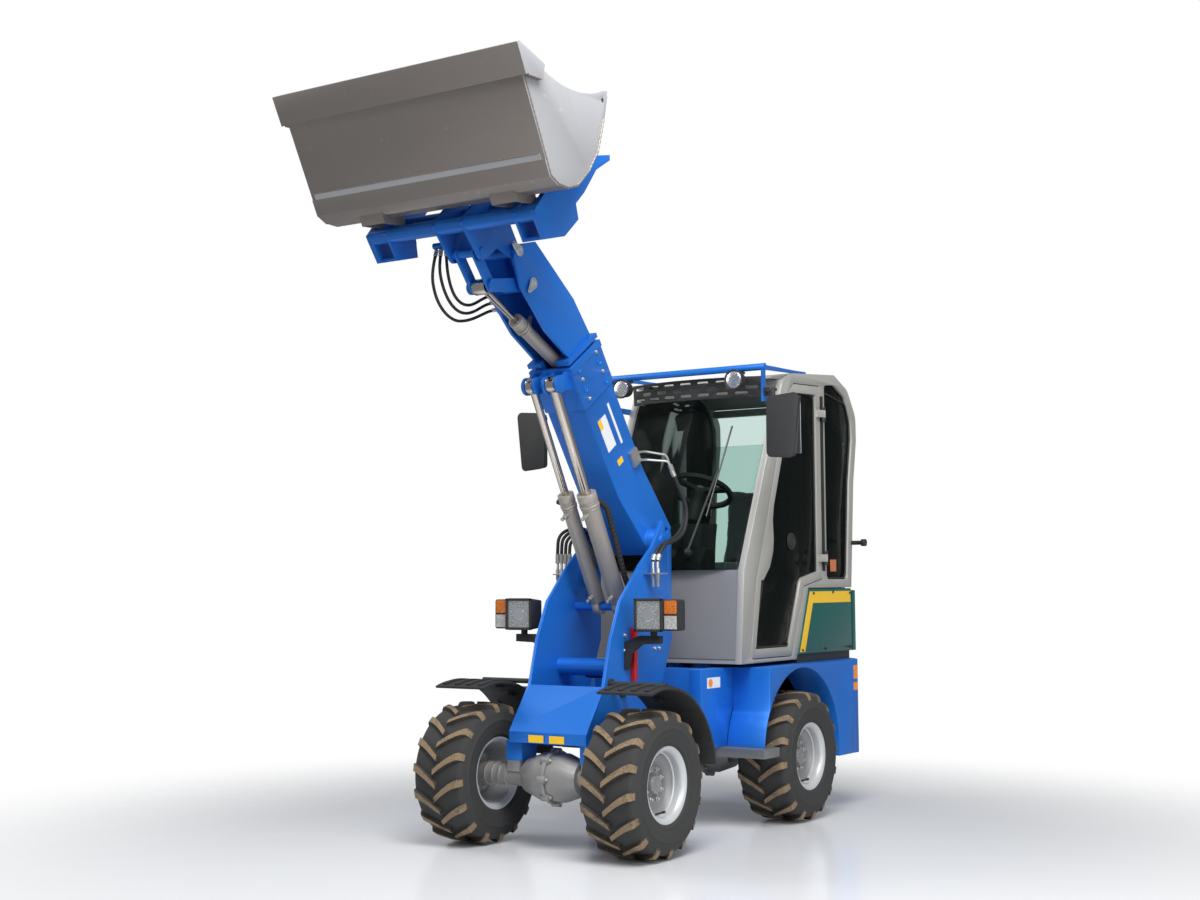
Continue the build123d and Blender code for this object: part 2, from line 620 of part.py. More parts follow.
# ---------------------------------------------------------------- boom
with BuildPart() as boom_outer:
    # box tube, open towards the head
    with BuildSketch(boom_section(ROOT_LENGTH)):
        with Locations((0, (BOOM_OVER + BOOM_UNDER) / 2)):
            Rectangle(2 * BOOM_HALF, BOOM_OVER - BOOM_UNDER)
            Rectangle(2 * (BOOM_HALF - BOOM_WALL), BOOM_OVER - BOOM_UNDER - 2 * BOOM_WALL,
                      mode=Mode.SUBTRACT)
    extrude(amount=BOOM_LENGTH - ROOT_LENGTH)
    # sleeve over the end that holds the wear pads
    with BuildSketch(boom_section(SLEEVE_START)):
        with Locations((0, (BOOM_OVER + BOOM_UNDER) / 2)):
            Rectangle(2 * (BOOM_HALF + SLEEVE_PLATE), BOOM_OVER - BOOM_UNDER + 2 * SLEEVE_PLATE)
            Rectangle(2 * BOOM_HALF - 2, BOOM_OVER - BOOM_UNDER - 2, mode=Mode.SUBTRACT)
    extrude(amount=BOOM_LENGTH - SLEEVE_START)
    # collar at the mouth
    with BuildSketch(boom_section(BOOM_LENGTH - MOUTH_LENGTH)):
        with Locations((0, (BOOM_OVER + BOOM_UNDER) / 2)):
            Rectangle(2 * BOOM_HALF + 24, BOOM_OVER - BOOM_UNDER + 24)
            Rectangle(2 * (BOOM_HALF - BOOM_WALL), BOOM_OVER - BOOM_UNDER - 2 * BOOM_WALL,
                      mode=Mode.SUBTRACT)
    extrude(amount=MOUTH_LENGTH)
    # wear pads inside the mouth, beside and over the inner boom
    inner_half = BOOM_HALF - BOOM_WALL - INNER_GAP
    with BuildSketch(boom_section(BOOM_LENGTH - PAD_LENGTH)):
        for side in (1, -1):
            with Locations((side * (inner_half + SEAT + (INNER_GAP - SEAT) / 2),
                            (BOOM_OVER + BOOM_UNDER) / 2)):
                Rectangle(INNER_GAP - SEAT, 120)
        with Locations((0, BOOM_OVER - BOOM_WALL - (INNER_GAP - SEAT) / 2)):
            Rectangle(120, INNER_GAP - SEAT)
        for side in (1, -1):
            with Locations((side * 68, BOOM_UNDER + BOOM_WALL + (INNER_GAP - SEAT) / 2)):
                Rectangle(30, INNER_GAP - SEAT)
    extrude(amount=PAD_LENGTH)
    # root, spreading towards the pivot
    with BuildSketch(boom_section(ROOT_LENGTH)):
        with Locations((0, (BOOM_OVER + BOOM_UNDER) / 2)):
            Rectangle(2 * BOOM_HALF, BOOM_OVER - BOOM_UNDER)
    with BuildSketch(boom_section(ROOT_TAIL)):
        with Locations((0, (BOOM_OVER + BOOM_UNDER) / 2 - 6)):
            Rectangle(2 * ROOT_HALF, BOOM_OVER - BOOM_UNDER - 30)
    loft()
    cross_bar(BOOM_PIVOT, 58, -TOWER_INNER + PIN_GAP, TOWER_INNER - PIN_GAP)
    cross_bar(BOOM_PIVOT, BOOM_PIN_RADIUS + PIN_FIT, -TOWER_INNER, TOWER_INNER,
              mode=Mode.SUBTRACT)
    # ears for the two rods, under the boom
    for eye_x, eye_half in ((LIFT_X, LIFT_EYE_HALF), (LEVEL_X, LEVEL_EYE_HALF)):
        for ear_x in (eye_x + eye_half + 5, eye_x - eye_half - 5 - BRACKET_PLATE):
            side_plate([on_boom(900, BOOM_UNDER + 4), on_boom(1008, BOOM_UNDER + 4),
                        (ROD_BRACKET[0] - 20, ROD_BRACKET[1] + 10), ROD_BRACKET,
                        (ROD_BRACKET[0] + 28, ROD_BRACKET[1] - 28)], ear_x, BRACKET_PLATE)
            cross_bar(ROD_BRACKET, EYE_RADIUS, ear_x, ear_x + BRACKET_PLATE)
boom_outer.part.label = "boom_outer"
export_step(boom_outer.part, "parts/boom_outer.step")

HEAD = [(-16, 2258), (-220, 2371), (-407, 2544), (-464, 2667), (-450, 2735),
        (-387, 2744), (-299, 2771), (7, 2551), (146, 2398)]
INNER_LOW, INNER_HIGH = BOOM_UNDER + BOOM_WALL + INNER_GAP, BOOM_OVER - BOOM_WALL - INNER_GAP
TILT_BASE = on_boom(TILT_BASE_ALONG, TILT_BASE_UP)
with BuildPart() as boom_inner:
    with BuildSketch(boom_section(INNER_TAIL)):
        with Locations((0, (INNER_LOW + INNER_HIGH) / 2)):
            Rectangle(2 * inner_half, INNER_HIGH - INNER_LOW)
            Rectangle(2 * (inner_half - INNER_WALL), INNER_HIGH - INNER_LOW - 2 * INNER_WALL,
                      mode=Mode.SUBTRACT)
    extrude(amount=COLLAR_START + COLLAR_LENGTH - INNER_TAIL)
    # collar where the head is clamped on
    with BuildSketch(boom_section(COLLAR_START)):
        with Locations((0, (INNER_LOW + INNER_HIGH) / 2)):
            Rectangle(2 * BOOM_HALF + 16, BOOM_OVER - BOOM_UNDER + 16)
            Rectangle(2 * (inner_half - INNER_WALL), INNER_HIGH - INNER_LOW - 2 * INNER_WALL,
                      mode=Mode.SUBTRACT)
    extrude(amount=COLLAR_LENGTH)
    # the two cheeks of the head and the plate over them
    for x in (HEAD_INNER, -HEAD_INNER - HEAD_PLATE):
        side_plate(HEAD, x, HEAD_PLATE)
    side_plate([(-299, 2771), (7, 2551), (146, 2398), (130, 2384), (-2, 2536), (-300, 2751)],
               -HEAD_INNER, 2 * HEAD_INNER)
    # room for the tilt cylinder
    side_plate([on_boom(TILT_BASE_ALONG - 60, TILT_BASE_UP - 40),
                on_boom(COLLAR_START + COLLAR_LENGTH + 20, -10),
                on_boom(COLLAR_START + COLLAR_LENGTH + 20, -130),
                on_boom(TILT_BASE_ALONG - 60, -130)], -44, 88, mode=Mode.SUBTRACT)
    # pins
    cross_bar(HITCH_PIVOT, HITCH_PIN_RADIUS, -HEAD_INNER - HEAD_PLATE - 8,
              HEAD_INNER + HEAD_PLATE + 8)
    cross_bar(ROCKER_PIVOT, LINK_PIN_RADIUS, -HEAD_INNER - HEAD_PLATE - 8,
              HEAD_INNER + HEAD_PLATE + 8)
    cross_bar(TILT_BASE, LINK_PIN_RADIUS, -inner_half, inner_half)
    # block where the hoses of the hitch end, outside the cheek
    side_plate([(-304, 2460), (-282, 2472), (-322, 2558), (-354, 2550)], HOSE_SEAT,
               -HEAD_INNER - HEAD_PLATE - HOSE_SEAT + 1)
boom_inner.part.label = "boom_inner"
export_step(boom_inner.part, "parts/boom_inner.step")

# ---------------------------------------------------------------- tilt linkage
with BuildPart() as rocker:
    for x in (ROCKER_INNER, -ROCKER_INNER - ROCKER_PLATE):
        link_plate(ROCKER_PIVOT, ROD_PIN, 30, x, ROCKER_PLATE)
    for side in (1, -1):
        start = ROCKER_INNER + ROCKER_PLATE if side > 0 else -HEAD_INNER + PIN_GAP
        cross_bar(ROCKER_PIVOT, 32, start, start + HEAD_INNER - PIN_GAP - ROCKER_INNER
                  - ROCKER_PLATE)
    # tube that joins the two plates round the pivot
    cross_bar(ROCKER_PIVOT, 32, -ROCKER_INNER, ROCKER_INNER)
    cross_bar(ROCKER_PIVOT, LINK_PIN_RADIUS + PIN_FIT, -HEAD_INNER, HEAD_INNER,
              mode=Mode.SUBTRACT)
    # pin stubs for the link
    for start in (ROCKER_INNER - LINK_PLATE - PIN_GAP, -ROCKER_INNER):
        cross_bar(ROD_PIN, LINK_PIN_RADIUS, start, start + LINK_PLATE + PIN_GAP)
rocker.part.label = "rocker"
export_step(rocker.part, "parts/rocker.step")

with BuildPart() as link:
    for x in (LINK_INNER, -LINK_INNER - LINK_PLATE):
        link_plate(ROD_PIN, LINK_PIN, 28, x, LINK_PLATE)
        cross_bar(ROD_PIN, LINK_PIN_RADIUS + PIN_FIT, x - 1, x + LINK_PLATE + 1,
                  mode=Mode.SUBTRACT)
    cross_bar(LINK_PIN, LINK_PIN_RADIUS + SEAT, -LINK_INNER - LINK_PLATE,
              LINK_INNER + LINK_PLATE, mode=Mode.SUBTRACT)
link.part.label = "link"
export_step(link.part, "parts/link.step")

# ---------------------------------------------------------------- hitch
# section of the bucket: middle line of its shell from the edge to the back
SHELL = [(-1186, 3353), (-935, 2868), (-880, 2845), (-813, 2843), (-740, 2868),
         (-657, 2945), (-590, 3041), (-545, 3190), (-519, 3300)]
FEED = BUCKET_PLATE / 2 + SEAT
SEAT_LOW = beside(SHELL[4], SHELL[5], 0.05, FEED)
SEAT_HIGH = beside(SHELL[4], SHELL[5], 0.95, FEED)
HITCH_SIDE = [(-812, 2772), (-732, 2662), (-592, 2699), (-487, 2791), (-506, 2858),
              (-440, 2920), (-345, 3040), (-236, 3105), (-236, 3130), (-383, 3095),
              (-483, 2960), (-560, 2960), SEAT_HIGH, SEAT_LOW]
HITCH_BOX = [(-812, 2772), (-732, 2662), (-592, 2699), (-610, 2800), (-740, 2830)]
with BuildPart() as hitch:
    for x in (HITCH_HALF - HITCH_SIDE_PLATE, -HITCH_HALF):
        side_plate(HITCH_SIDE, x, HITCH_SIDE_PLATE)
    # inner plates and back skins of the two end boxes
    for x in (HITCH_BOX_X, -HITCH_BOX_X - HITCH_BOX_PLATE):
        side_plate(HITCH_BOX, x, HITCH_BOX_PLATE)
    for x in (HITCH_BOX_X, -HITCH_HALF + HITCH_SIDE_PLATE):
        side_plate([(-740, 2668), (-592, 2701), (-598, 2712), (-734, 2680)],
                   x, HITCH_HALF - HITCH_SIDE_PLATE - HITCH_BOX_X)
    # front tube, rear tube, and the bar behind the bucket
    for centre, radius in HITCH_TUBES:
        cross_bar(centre, radius, -HITCH_HALF + 4, HITCH_HALF - 4)
    # bar where the three hoses of the hitch start
    cross_bar(HOSE_BAR, HOSE_BAR_RADIUS, -200, -HITCH_EAR_INNER)
    # ears that take the hitch pivot and the link
    for x in (HITCH_EAR_INNER, -HITCH_EAR_INNER - HITCH_EAR_PLATE):
        side_plate([(-815, 2768), (-700, 2645), (-672, 2630), (-640, 2636), (-560, 2700),
                    (-435, 2668), (-400, 2690), (-398, 2725), (-520, 2900), (-600, 2915),
                    SEAT_HIGH, SEAT_LOW, (-790, 2806)], x, HITCH_EAR_PLATE)
        cross_bar(HITCH_PIVOT, HITCH_PIN_RADIUS + PIN_FIT, x, x + HITCH_EAR_PLATE,
                  mode=Mode.SUBTRACT)
        cross_bar(LINK_PIN, 36, x, x + HITCH_EAR_PLATE)
    cross_bar(LINK_PIN, LINK_PIN_RADIUS, -HITCH_EAR_INNER - HITCH_EAR_PLATE - 8,
              HITCH_EAR_INNER + HITCH_EAR_PLATE + 8)
hitch.part.label = "hitch"
export_step(hitch.part, "parts/hitch.step")

# ---------------------------------------------------------------- bucket
with BuildPart() as bucket:
    for x in (-BUCKET_HALF, BUCKET_HALF - BUCKET_PLATE):
        with BuildSketch(side_plane(x)):
            with BuildLine():
                Polyline(*SHELL, (-515, 3322), (-540, 3316))
                ThreePointArc((-540, 3316), (-745, 3262), (-1014, 3302))
                Line((-1014, 3302), SHELL[0])
            make_face()
            with Locations((-552, 3272)):
                Circle(LIFT_HOLE_RADIUS, mode=Mode.SUBTRACT)
        extrude(amount=BUCKET_PLATE)
    with BuildSketch(side_plane(-BUCKET_HALF)):
        with BuildLine():
            Polyline(*SHELL)
        trace(line_width=BUCKET_PLATE)
    extrude(amount=2 * BUCKET_HALF)
    # doubled heel
    with BuildSketch(side_plane(-BUCKET_HALF)):
        with BuildLine():
            Polyline(beside(SHELL[1], SHELL[0], 0.13, -FEED), beside(SHELL[1], SHELL[0], 0, -FEED),
                     beside(SHELL[2], SHELL[1], 0, -FEED))
        trace(line_width=8)
    extrude(amount=2 * BUCKET_HALF)
    # cutting edge with its two cheeks
    edge = Plane(origin=(0, FRONT_AXLE_Y + SHELL[0][0], SHELL[0][1]), x_dir=(1, 0, 0),
                 z_dir=(0, -0.888, -0.46))
    with BuildSketch(edge):
        Rectangle(2 * BLADE_HALF, BLADE_WIDTH, align=(Align.CENTER, Align.MAX))
    extrude(amount=BLADE_PLATE)
    for x in (BUCKET_HALF, -BLADE_HALF):
        side_plate([SHELL[0], (-1014, 3302), (-1030, 3236), beside(SHELL[0], SHELL[1], 0.25, 0)],
                   x, BLADE_HALF - BUCKET_HALF)
    # brackets that stand on the front tube of the hitch
    tube_top = HITCH_TUBES[0][0][1] + HITCH_TUBES[0][1] + SEAT
    for x in BUCKET_BRACKETS:
        side_plate([(-905, 2851), (-752, 2858), (-735, tube_top), (-800, tube_top),
                    (-880, 2800)], x - BUCKET_PLATE / 2, BUCKET_PLATE)
    for x in (BUCKET_BRACKETS[0], -BUCKET_BRACKETS[1]):
        side_plate([(-905, 2851), (-880, 2800), (-870, 2806), (-893, 2853)], x,
                   BUCKET_BRACKETS[1] - BUCKET_BRACKETS[0])
bucket.part.label = "bucket"
export_step(bucket.part, "parts/bucket.step")

# ---------------------------------------------------------------- cylinders
def cylinder_barrel(base, target, x, eye_half, radius, bore, length, pin_radius):
    """Barrel with its eye at the base pin, pointing at the rod's pin."""
    plane = pin_plane(x, base, target)
    with BuildSketch(plane.offset(EYE_RADIUS * 0.7)) as tube:
        Circle(radius)
    extrude(tube.sketch, amount=length - EYE_RADIUS * 0.7)
    with BuildSketch(plane.offset(length - 40)) as gland:
        Circle(radius + 4)
    extrude(gland.sketch, amount=40)
    cross_bar(base, EYE_RADIUS, x - eye_half, x + eye_half)
    cross_bar(base, pin_radius + PIN_FIT, x - eye_half, x + eye_half, mode=Mode.SUBTRACT)
    with BuildSketch(plane.offset(BARREL_FLOOR)) as hollow:
        Circle(bore)
    extrude(hollow.sketch, amount=length, mode=Mode.SUBTRACT)


def cylinder_rod(base, target, x, eye_half, rod_radius, length, eye_radius):
    """Rod from inside the barrel to its eye, the eye left whole."""
    plane = pin_plane(x, base, target)
    with BuildSketch(plane.offset(length)) as shaft:
        Circle(rod_radius)
    extrude(shaft.sketch, amount=distance(base, target) - length - eye_radius * 0.7)
    cross_bar(target, eye_radius, x - eye_half, x + eye_half)


LIFT_PAIR = (
    ("lift", LIFT_X, LIFT_EYE_HALF, LIFT_BARREL_RADIUS, LIFT_ROD_RADIUS),
    ("levelling", LEVEL_X, LEVEL_EYE_HALF, LEVEL_BARREL_RADIUS, LEVEL_ROD_RADIUS),
)
for cylinder_name, x, eye_half, barrel_radius, rod_radius in LIFT_PAIR:
    with BuildPart() as cylinder:
        cylinder_barrel(CYLINDER_BASE, ROD_BRACKET, x, eye_half, barrel_radius,
                        rod_radius + SEAT, BARREL_LENGTH, CYLINDER_PIN_RADIUS)
    cylinder.part.label = cylinder_name + "_barrel"
    export_step(cylinder.part, "parts/" + cylinder_name + "_barrel.step")
    with BuildPart() as rod:
        cylinder_rod(CYLINDER_BASE, ROD_BRACKET, x, eye_half, rod_radius,
                     BARREL_FLOOR + LIFT_STROKE + PIN_GAP, EYE_RADIUS - 4)
    rod.part.label = cylinder_name + "_rod"
    export_step(rod.part, "parts/" + cylinder_name + "_rod.step")

TILT_BARREL_LENGTH = distance(TILT_BASE, ROD_PIN) - TILT_GLAND_FROM_ROD_PIN
with BuildPart() as tilt_barrel:
    cylinder_barrel(TILT_BASE, ROD_PIN, 0, TILT_EYE_HALF, TILT_BARREL_RADIUS - 4,
                    TILT_ROD_RADIUS + SEAT, TILT_BARREL_LENGTH, LINK_PIN_RADIUS)
tilt_barrel.part.label = "tilt_barrel"
export_step(tilt_barrel.part, "parts/tilt_barrel.step")

with BuildPart() as tilt_rod:
    cylinder_rod(TILT_BASE, ROD_PIN, 0, TILT_EYE_HALF, TILT_ROD_RADIUS,
                 BARREL_FLOOR + TILT_STROKE + PIN_GAP, 36)
tilt_rod.part.label = "tilt_rod"
export_step(tilt_rod.part, "parts/tilt_rod.step")

STEER_REACH = STEER_BASE_STATION - STEER_EYE_STATION
with BuildPart() as steering_barrel:
    with BuildSketch(Plane(origin=(STEER_X, FRONT_AXLE_Y + STEER_BASE_STATION - 22, STEER_Z),
                           z_dir=(0, -1, 0))):
        Circle(STEER_BARREL_RADIUS)
    extrude(amount=STEER_BARREL_LENGTH - 22)
    with BuildSketch(top_plane(STEER_Z - STEER_EYE_HALF)):
        with Locations((STEER_X, STEER_BASE_STATION)):
            Circle(30)
    extrude(amount=2 * STEER_EYE_HALF)
    with BuildSketch(top_plane(STEER_Z - STEER_EYE_HALF)):
        with Locations((STEER_X, STEER_BASE_STATION)):
            Circle(STEER_PIN_RADIUS + PIN_FIT)
    extrude(amount=2 * STEER_EYE_HALF, mode=Mode.SUBTRACT)
    with BuildSketch(Plane(origin=(STEER_X, FRONT_AXLE_Y + STEER_BASE_STATION - 50, STEER_Z),
                           z_dir=(0, -1, 0))):
        Circle(STEER_ROD_RADIUS + SEAT)
    extrude(amount=STEER_BARREL_LENGTH, mode=Mode.SUBTRACT)
steering_barrel.part.label = "steering_barrel"
export_step(steering_barrel.part, "parts/steering_barrel.step")

with BuildPart() as steering_rod:
    rod_start = 50 + STEER_STROKE + 60
    with BuildSketch(Plane(origin=(STEER_X, FRONT_AXLE_Y + STEER_BASE_STATION - rod_start,
                                   STEER_Z), z_dir=(0, -1, 0))):
        Circle(STEER_ROD_RADIUS)
    extrude(amount=STEER_REACH - rod_start - 20)
    with BuildSketch(top_plane(STEER_Z - STEER_EYE_HALF)):
        with Locations((STEER_X, STEER_EYE_STATION)):
            Circle(28)
    extrude(amount=2 * STEER_EYE_HALF)
steering_rod.part.label = "steering_rod"
export_step(steering_rod.part, "parts/steering_rod.step")

# ---------------------------------------------------------------- rear chassis
with BuildPart() as rear_chassis:
    # side rails and the walls between them
    for x in (RAIL_OUTER - RAIL_PLATE, -RAIL_OUTER):
        side_plate([(FRONT_WALL_STATION, RAIL_LOW), (WEIGHT_FRONT - SEAT, RAIL_LOW),
                    (WEIGHT_FRONT - SEAT, RAIL_HIGH), (FRONT_WALL_STATION, RAIL_HIGH)],
                   x, RAIL_PLATE)
    side_plate([(FRONT_WALL_STATION, TANK_LOW), (FRONT_WALL_STATION + RAIL_PLATE, TANK_LOW),
                (FRONT_WALL_STATION + RAIL_PLATE, BODY_TOP),
                (FRONT_WALL_STATION, BODY_TOP)], -TANK_INNER + SEAT,
               2 * (TANK_INNER - SEAT))
    for station in CROSS_MEMBERS:
        side_plate([(station, RAIL_LOW), (station + 50, RAIL_LOW),
                    (station + 50, RAIL_LOW + 30), (station, RAIL_LOW + 30)],
                   -RAIL_OUTER, 2 * RAIL_OUTER)
    # king post with its pin and the two gusset plates
    with BuildSketch(top_plane(POST_LOW)):
        with Locations((0, PIVOT_STATION)):
            Circle(POST_RADIUS)
    extrude(amount=POST_HIGH - POST_LOW)
    with BuildSketch(top_plane(EAR_LOW - 8)):
        with Locations((0, PIVOT_STATION)):
            Circle(KING_PIN_RADIUS)
    extrude(amount=POST_HIGH + EAR_GAP + EAR_PLATE + 16 - EAR_LOW)
    for low in (POST_LOW + 20, POST_HIGH - 40):
        with BuildSketch(top_plane(low)):
            with BuildLine():
                Polyline((-50, PIVOT_STATION), (50, PIVOT_STATION),
                         (90, FRONT_WALL_STATION), (-90, FRONT_WALL_STATION), close=True)
            make_face()
        extrude(amount=20)
    side_plate([(PIVOT_STATION, POST_LOW + 20), (FRONT_WALL_STATION, POST_LOW + 20),
                (FRONT_WALL_STATION, POST_HIGH - 20), (PIVOT_STATION, POST_HIGH - 20)],
               -10, 20)
    # pads on the axle
    for side in (1, -1):
        with BuildSketch(top_plane(AXLE_PAD_TOP + SEAT)):
            with Locations((side * (RAIL_OUTER - RAIL_PLATE / 2), WHEELBASE)):
                Rectangle(60, 120)
        extrude(amount=RAIL_LOW + 10 - AXLE_PAD_TOP)
    # bracket and pin of the steering cylinder
    with BuildSketch(top_plane(STEER_Z + STEER_BARREL_RADIUS + PIN_GAP)):
        with Locations((STEER_X, STEER_BASE_STATION)):
            Rectangle(70, 70)
    extrude(amount=RAIL_LOW + 10 - STEER_Z - STEER_BARREL_RADIUS - PIN_GAP)
    with BuildSketch(top_plane(STEER_Z - STEER_EYE_HALF - 8)):
        with Locations((STEER_X, STEER_BASE_STATION)):
            Circle(STEER_PIN_RADIUS)
    extrude(amount=STEER_EYE_HALF + STEER_BARREL_RADIUS + 20)
    # mounts under the cab
    for x, station in CAB_MOUNTS:
        with BuildSketch(top_plane(RAIL_LOW + 30)):
            with Locations((x, station)):
                Rectangle(60, 60)
        extrude(amount=CAB_LOW - SEAT - RAIL_LOW - 30)
rear_chassis.part.label = "rear_chassis"
export_step(rear_chassis.part, "parts/rear_chassis.step")

with BuildPart() as engine_block:
    engine_front, engine_rear = 1580, WEIGHT_FRONT - 30
    side_plate([(engine_front, RAIL_LOW + 30 + SEAT), (engine_rear, RAIL_LOW + 30 + SEAT),
                (engine_rear, 1060), (engine_front, 1060)], -200, 400)
engine_block.part.label = "engine_block"
export_step(engine_block.part, "parts/engine_block.step")

# ---------------------------------------------------------------- rear body
tank_rear = ARCH_CENTRE[0] - 40
arch_front = ARCH_CENTRE[0] - ARCH_RADIUS
with BuildPart() as side_tanks:
    for x in (TANK_INNER, -TANK_OUTER):
        with BuildSketch(side_plane(x)):
            with BuildLine():
                Polyline((TANK_FRONT, TANK_LOW), (TANK_FRONT, BODY_TOP),
                         (tank_rear, BODY_TOP), (tank_rear, TANK_LOW), close=True)
            make_face()
            with Locations(ARCH_CENTRE):
                Circle(ARCH_RADIUS + FENDER_SHEET + SEAT, mode=Mode.SUBTRACT)
        extrude(amount=TANK_OUTER - TANK_INNER)
side_tanks.part.label = "side_tanks"
export_step(side_tanks.part, "parts/side_tanks.step")

with BuildPart() as rear_fenders:
    for side in (1, -1):
        inner = side * TANK_INNER
        with BuildSketch(side_plane(min(side * TANK_OUTER, side * FENDER_OUTER))):
            with BuildLine():
                Polyline((arch_front - 100, TANK_LOW), (arch_front - 100, BODY_TOP),
                         (WEIGHT_FRONT - SEAT, BODY_TOP), (WEIGHT_FRONT - SEAT, WEIGHT_LOW),
                         (ARCH_CENTRE[0] + 270, WEIGHT_LOW), (ARCH_CENTRE[0], TANK_LOW),
                         close=True)
            make_face()
            with Locations(ARCH_CENTRE):
                Circle(ARCH_RADIUS, mode=Mode.SUBTRACT)
            with BuildLine():
                Polyline((arch_front - 200, 200), (arch_front - 200, BODY_TOP + 5),
                         (arch_front + 60, BODY_TOP + 5), (arch_front + 60, 200), close=True)
            make_face(mode=Mode.SUBTRACT)
        extrude(amount=FENDER_OUTER - TANK_OUTER)
        with BuildSketch(side_plane(min(side * TANK_OUTER, side * FENDER_OUTER))):
            with Locations(ARCH_CENTRE):
                Circle(ARCH_RADIUS + FENDER_SHEET)
                Circle(ARCH_RADIUS, mode=Mode.SUBTRACT)
            with BuildLine():
                Polyline((arch_front - 100, TANK_LOW), (arch_front - 100, BODY_TOP + 50),
                         (arch_front + 300, BODY_TOP + 50), (ARCH_CENTRE[0], TANK_LOW),
                         close=True)
            make_face(mode=Mode.INTERSECT)
        extrude(amount=FENDER_OUTER - TANK_OUTER)
rear_fenders.part.label = "rear_fenders"
export_step(rear_fenders.part, "parts/rear_fenders.step")

with BuildPart() as counterweight:
    with BuildSketch(top_plane(WEIGHT_LOW)):
        with BuildLine():
            Polyline((-FENDER_OUTER, WEIGHT_FRONT + 60), (-FENDER_OUTER, WEIGHT_FRONT),
                     (FENDER_OUTER, WEIGHT_FRONT), (FENDER_OUTER, WEIGHT_FRONT + 60))
            ThreePointArc((FENDER_OUTER, WEIGHT_FRONT + 60), (430, BODY_REAR - 70),
                          (200, BODY_REAR))
            Line((200, BODY_REAR), (-200, BODY_REAR))
            ThreePointArc((-200, BODY_REAR), (-430, BODY_REAR - 70),
                          (-FENDER_OUTER, WEIGHT_FRONT + 60))
        make_face()
    extrude(amount=BODY_TOP - WEIGHT_LOW)
    # pockets of the rear lamps
    for side in (1, -1):
        with BuildSketch(front_plane(BODY_REAR - REAR_LAMP_DEPTH)):
            with Locations((side * REAR_LAMP_X, REAR_LAMP_HEIGHT)):
                Rectangle(REAR_LAMP_WIDTH + 2 * SEAT, REAR_LAMP_TALL + 2 * SEAT)
        extrude(amount=-REAR_LAMP_DEPTH - 5, mode=Mode.SUBTRACT)
    # jaw for a drawbar under the tail
    with BuildSketch(top_plane(JAW_LOW)):
        with Locations((0, JAW_STATION)):
            Rectangle(110, 130)
    extrude(amount=WEIGHT_LOW + 5 - JAW_LOW)
    with BuildSketch(top_plane(JAW_LOW + JAW_PLATE)):
        with Locations((0, JAW_STATION + 30)):
            Rectangle(120, 90)
    extrude(amount=WEIGHT_LOW - 2 * JAW_PLATE - JAW_LOW, mode=Mode.SUBTRACT)
    with BuildSketch(top_plane(JAW_LOW)):
        with Locations((0, JAW_STATION + 25)):
            Circle(JAW_HOLE_RADIUS)
    extrude(amount=WEIGHT_LOW - JAW_LOW, mode=Mode.SUBTRACT)
counterweight.part.label = "counterweight"
export_step(counterweight.part, "parts/counterweight.step")

with BuildPart() as rear_lamps:
    for side in (1, -1):
        with BuildSketch(front_plane(BODY_REAR)):
            with Locations((side * REAR_LAMP_X, REAR_LAMP_HEIGHT)):
                Rectangle(REAR_LAMP_WIDTH, REAR_LAMP_TALL)
        extrude(amount=REAR_LAMP_DEPTH - SEAT, dir=(0, -1, 0))
rear_lamps.part.label = "rear_lamps"
export_step(rear_lamps.part, "parts/rear_lamps.step")

ENGINE_PANEL = [(1566, 838), (1703, SILL_HEIGHT - 5), (2240, SILL_HEIGHT - 5),
                (2240, 838)]
with BuildPart() as engine_side_panels:
    for x in (CAB_HALF - CAB_WALL, -CAB_HALF):
        side_plate(ENGINE_PANEL, x, CAB_WALL)
engine_side_panels.part.label = "engine_side_panels"
export_step(engine_side_panels.part, "parts/engine_side_panels.step")

with BuildPart() as engine_hatch:
    side_plate([(2255, 838), (2290, 838), (2290, SILL_HEIGHT - 16), (2255, SILL_HEIGHT - 16)],
               -CAB_HALF, 2 * CAB_HALF)
    cross_bar(HATCH_HINGE, HATCH_PIN_RADIUS, -HATCH_LUG_X - HATCH_LUG, HATCH_LUG_X + HATCH_LUG)
    for x in (HATCH_LUG_X - PIN_GAP, -HATCH_LUG_X - HATCH_LUG - PIN_GAP):
        for mode in (Mode.SUBTRACT, Mode.ADD):
            radius = HATCH_LUG_RADIUS + 5 if mode == Mode.SUBTRACT else HATCH_PIN_RADIUS
            cross_bar(HATCH_HINGE, radius, x, x + HATCH_LUG + 2 * PIN_GAP, mode=mode)
    # cooling slots
    slot_pitch = (SILL_HEIGHT - 76 - HATCH_SLOT_LOW) / HATCH_SLOTS
    with BuildSketch(front_plane(2250)):
        for row in range(HATCH_SLOTS):
            with Locations((0, HATCH_SLOT_LOW + row * slot_pitch)):
                SlotOverall(HATCH_SLOT_LENGTH, HATCH_SLOT_WIDTH)
    extrude(amount=-50, mode=Mode.SUBTRACT)
engine_hatch.part.label = "engine_hatch"
export_step(engine_hatch.part, "parts/engine_hatch.step")

# ---------------------------------------------------------------- cab
# side view of the cab: outer edge, door opening and rear quarter opening
CAB_SIDE = [(943, CAB_LOW), (985, 1284), (1436, 2283), (1533, 2331), (2062, 2374),
            (2234, 2304), (2338, 2161), (2339, 2020), (2294, 1784), (2244, SILL_HEIGHT),
            (1698, SILL_HEIGHT), (1548, CAB_LOW)]
DOOR_SIDE = [(1042, 838), (1497, 838), (1646, SILL_HEIGHT + 10), (1868, SILL_HEIGHT + 50), (1868, 2290),
             (1560, 2276), (1505, 2235), (1122, 1250)]
QUARTER_SIDE = [(1930, SILL_HEIGHT + 45), (2195, SILL_HEIGHT + 45), (2240, 1790), (2284, 2025), (2282, 2130),
                (2200, 2262), (2060, 2318), (1930, 2305)]
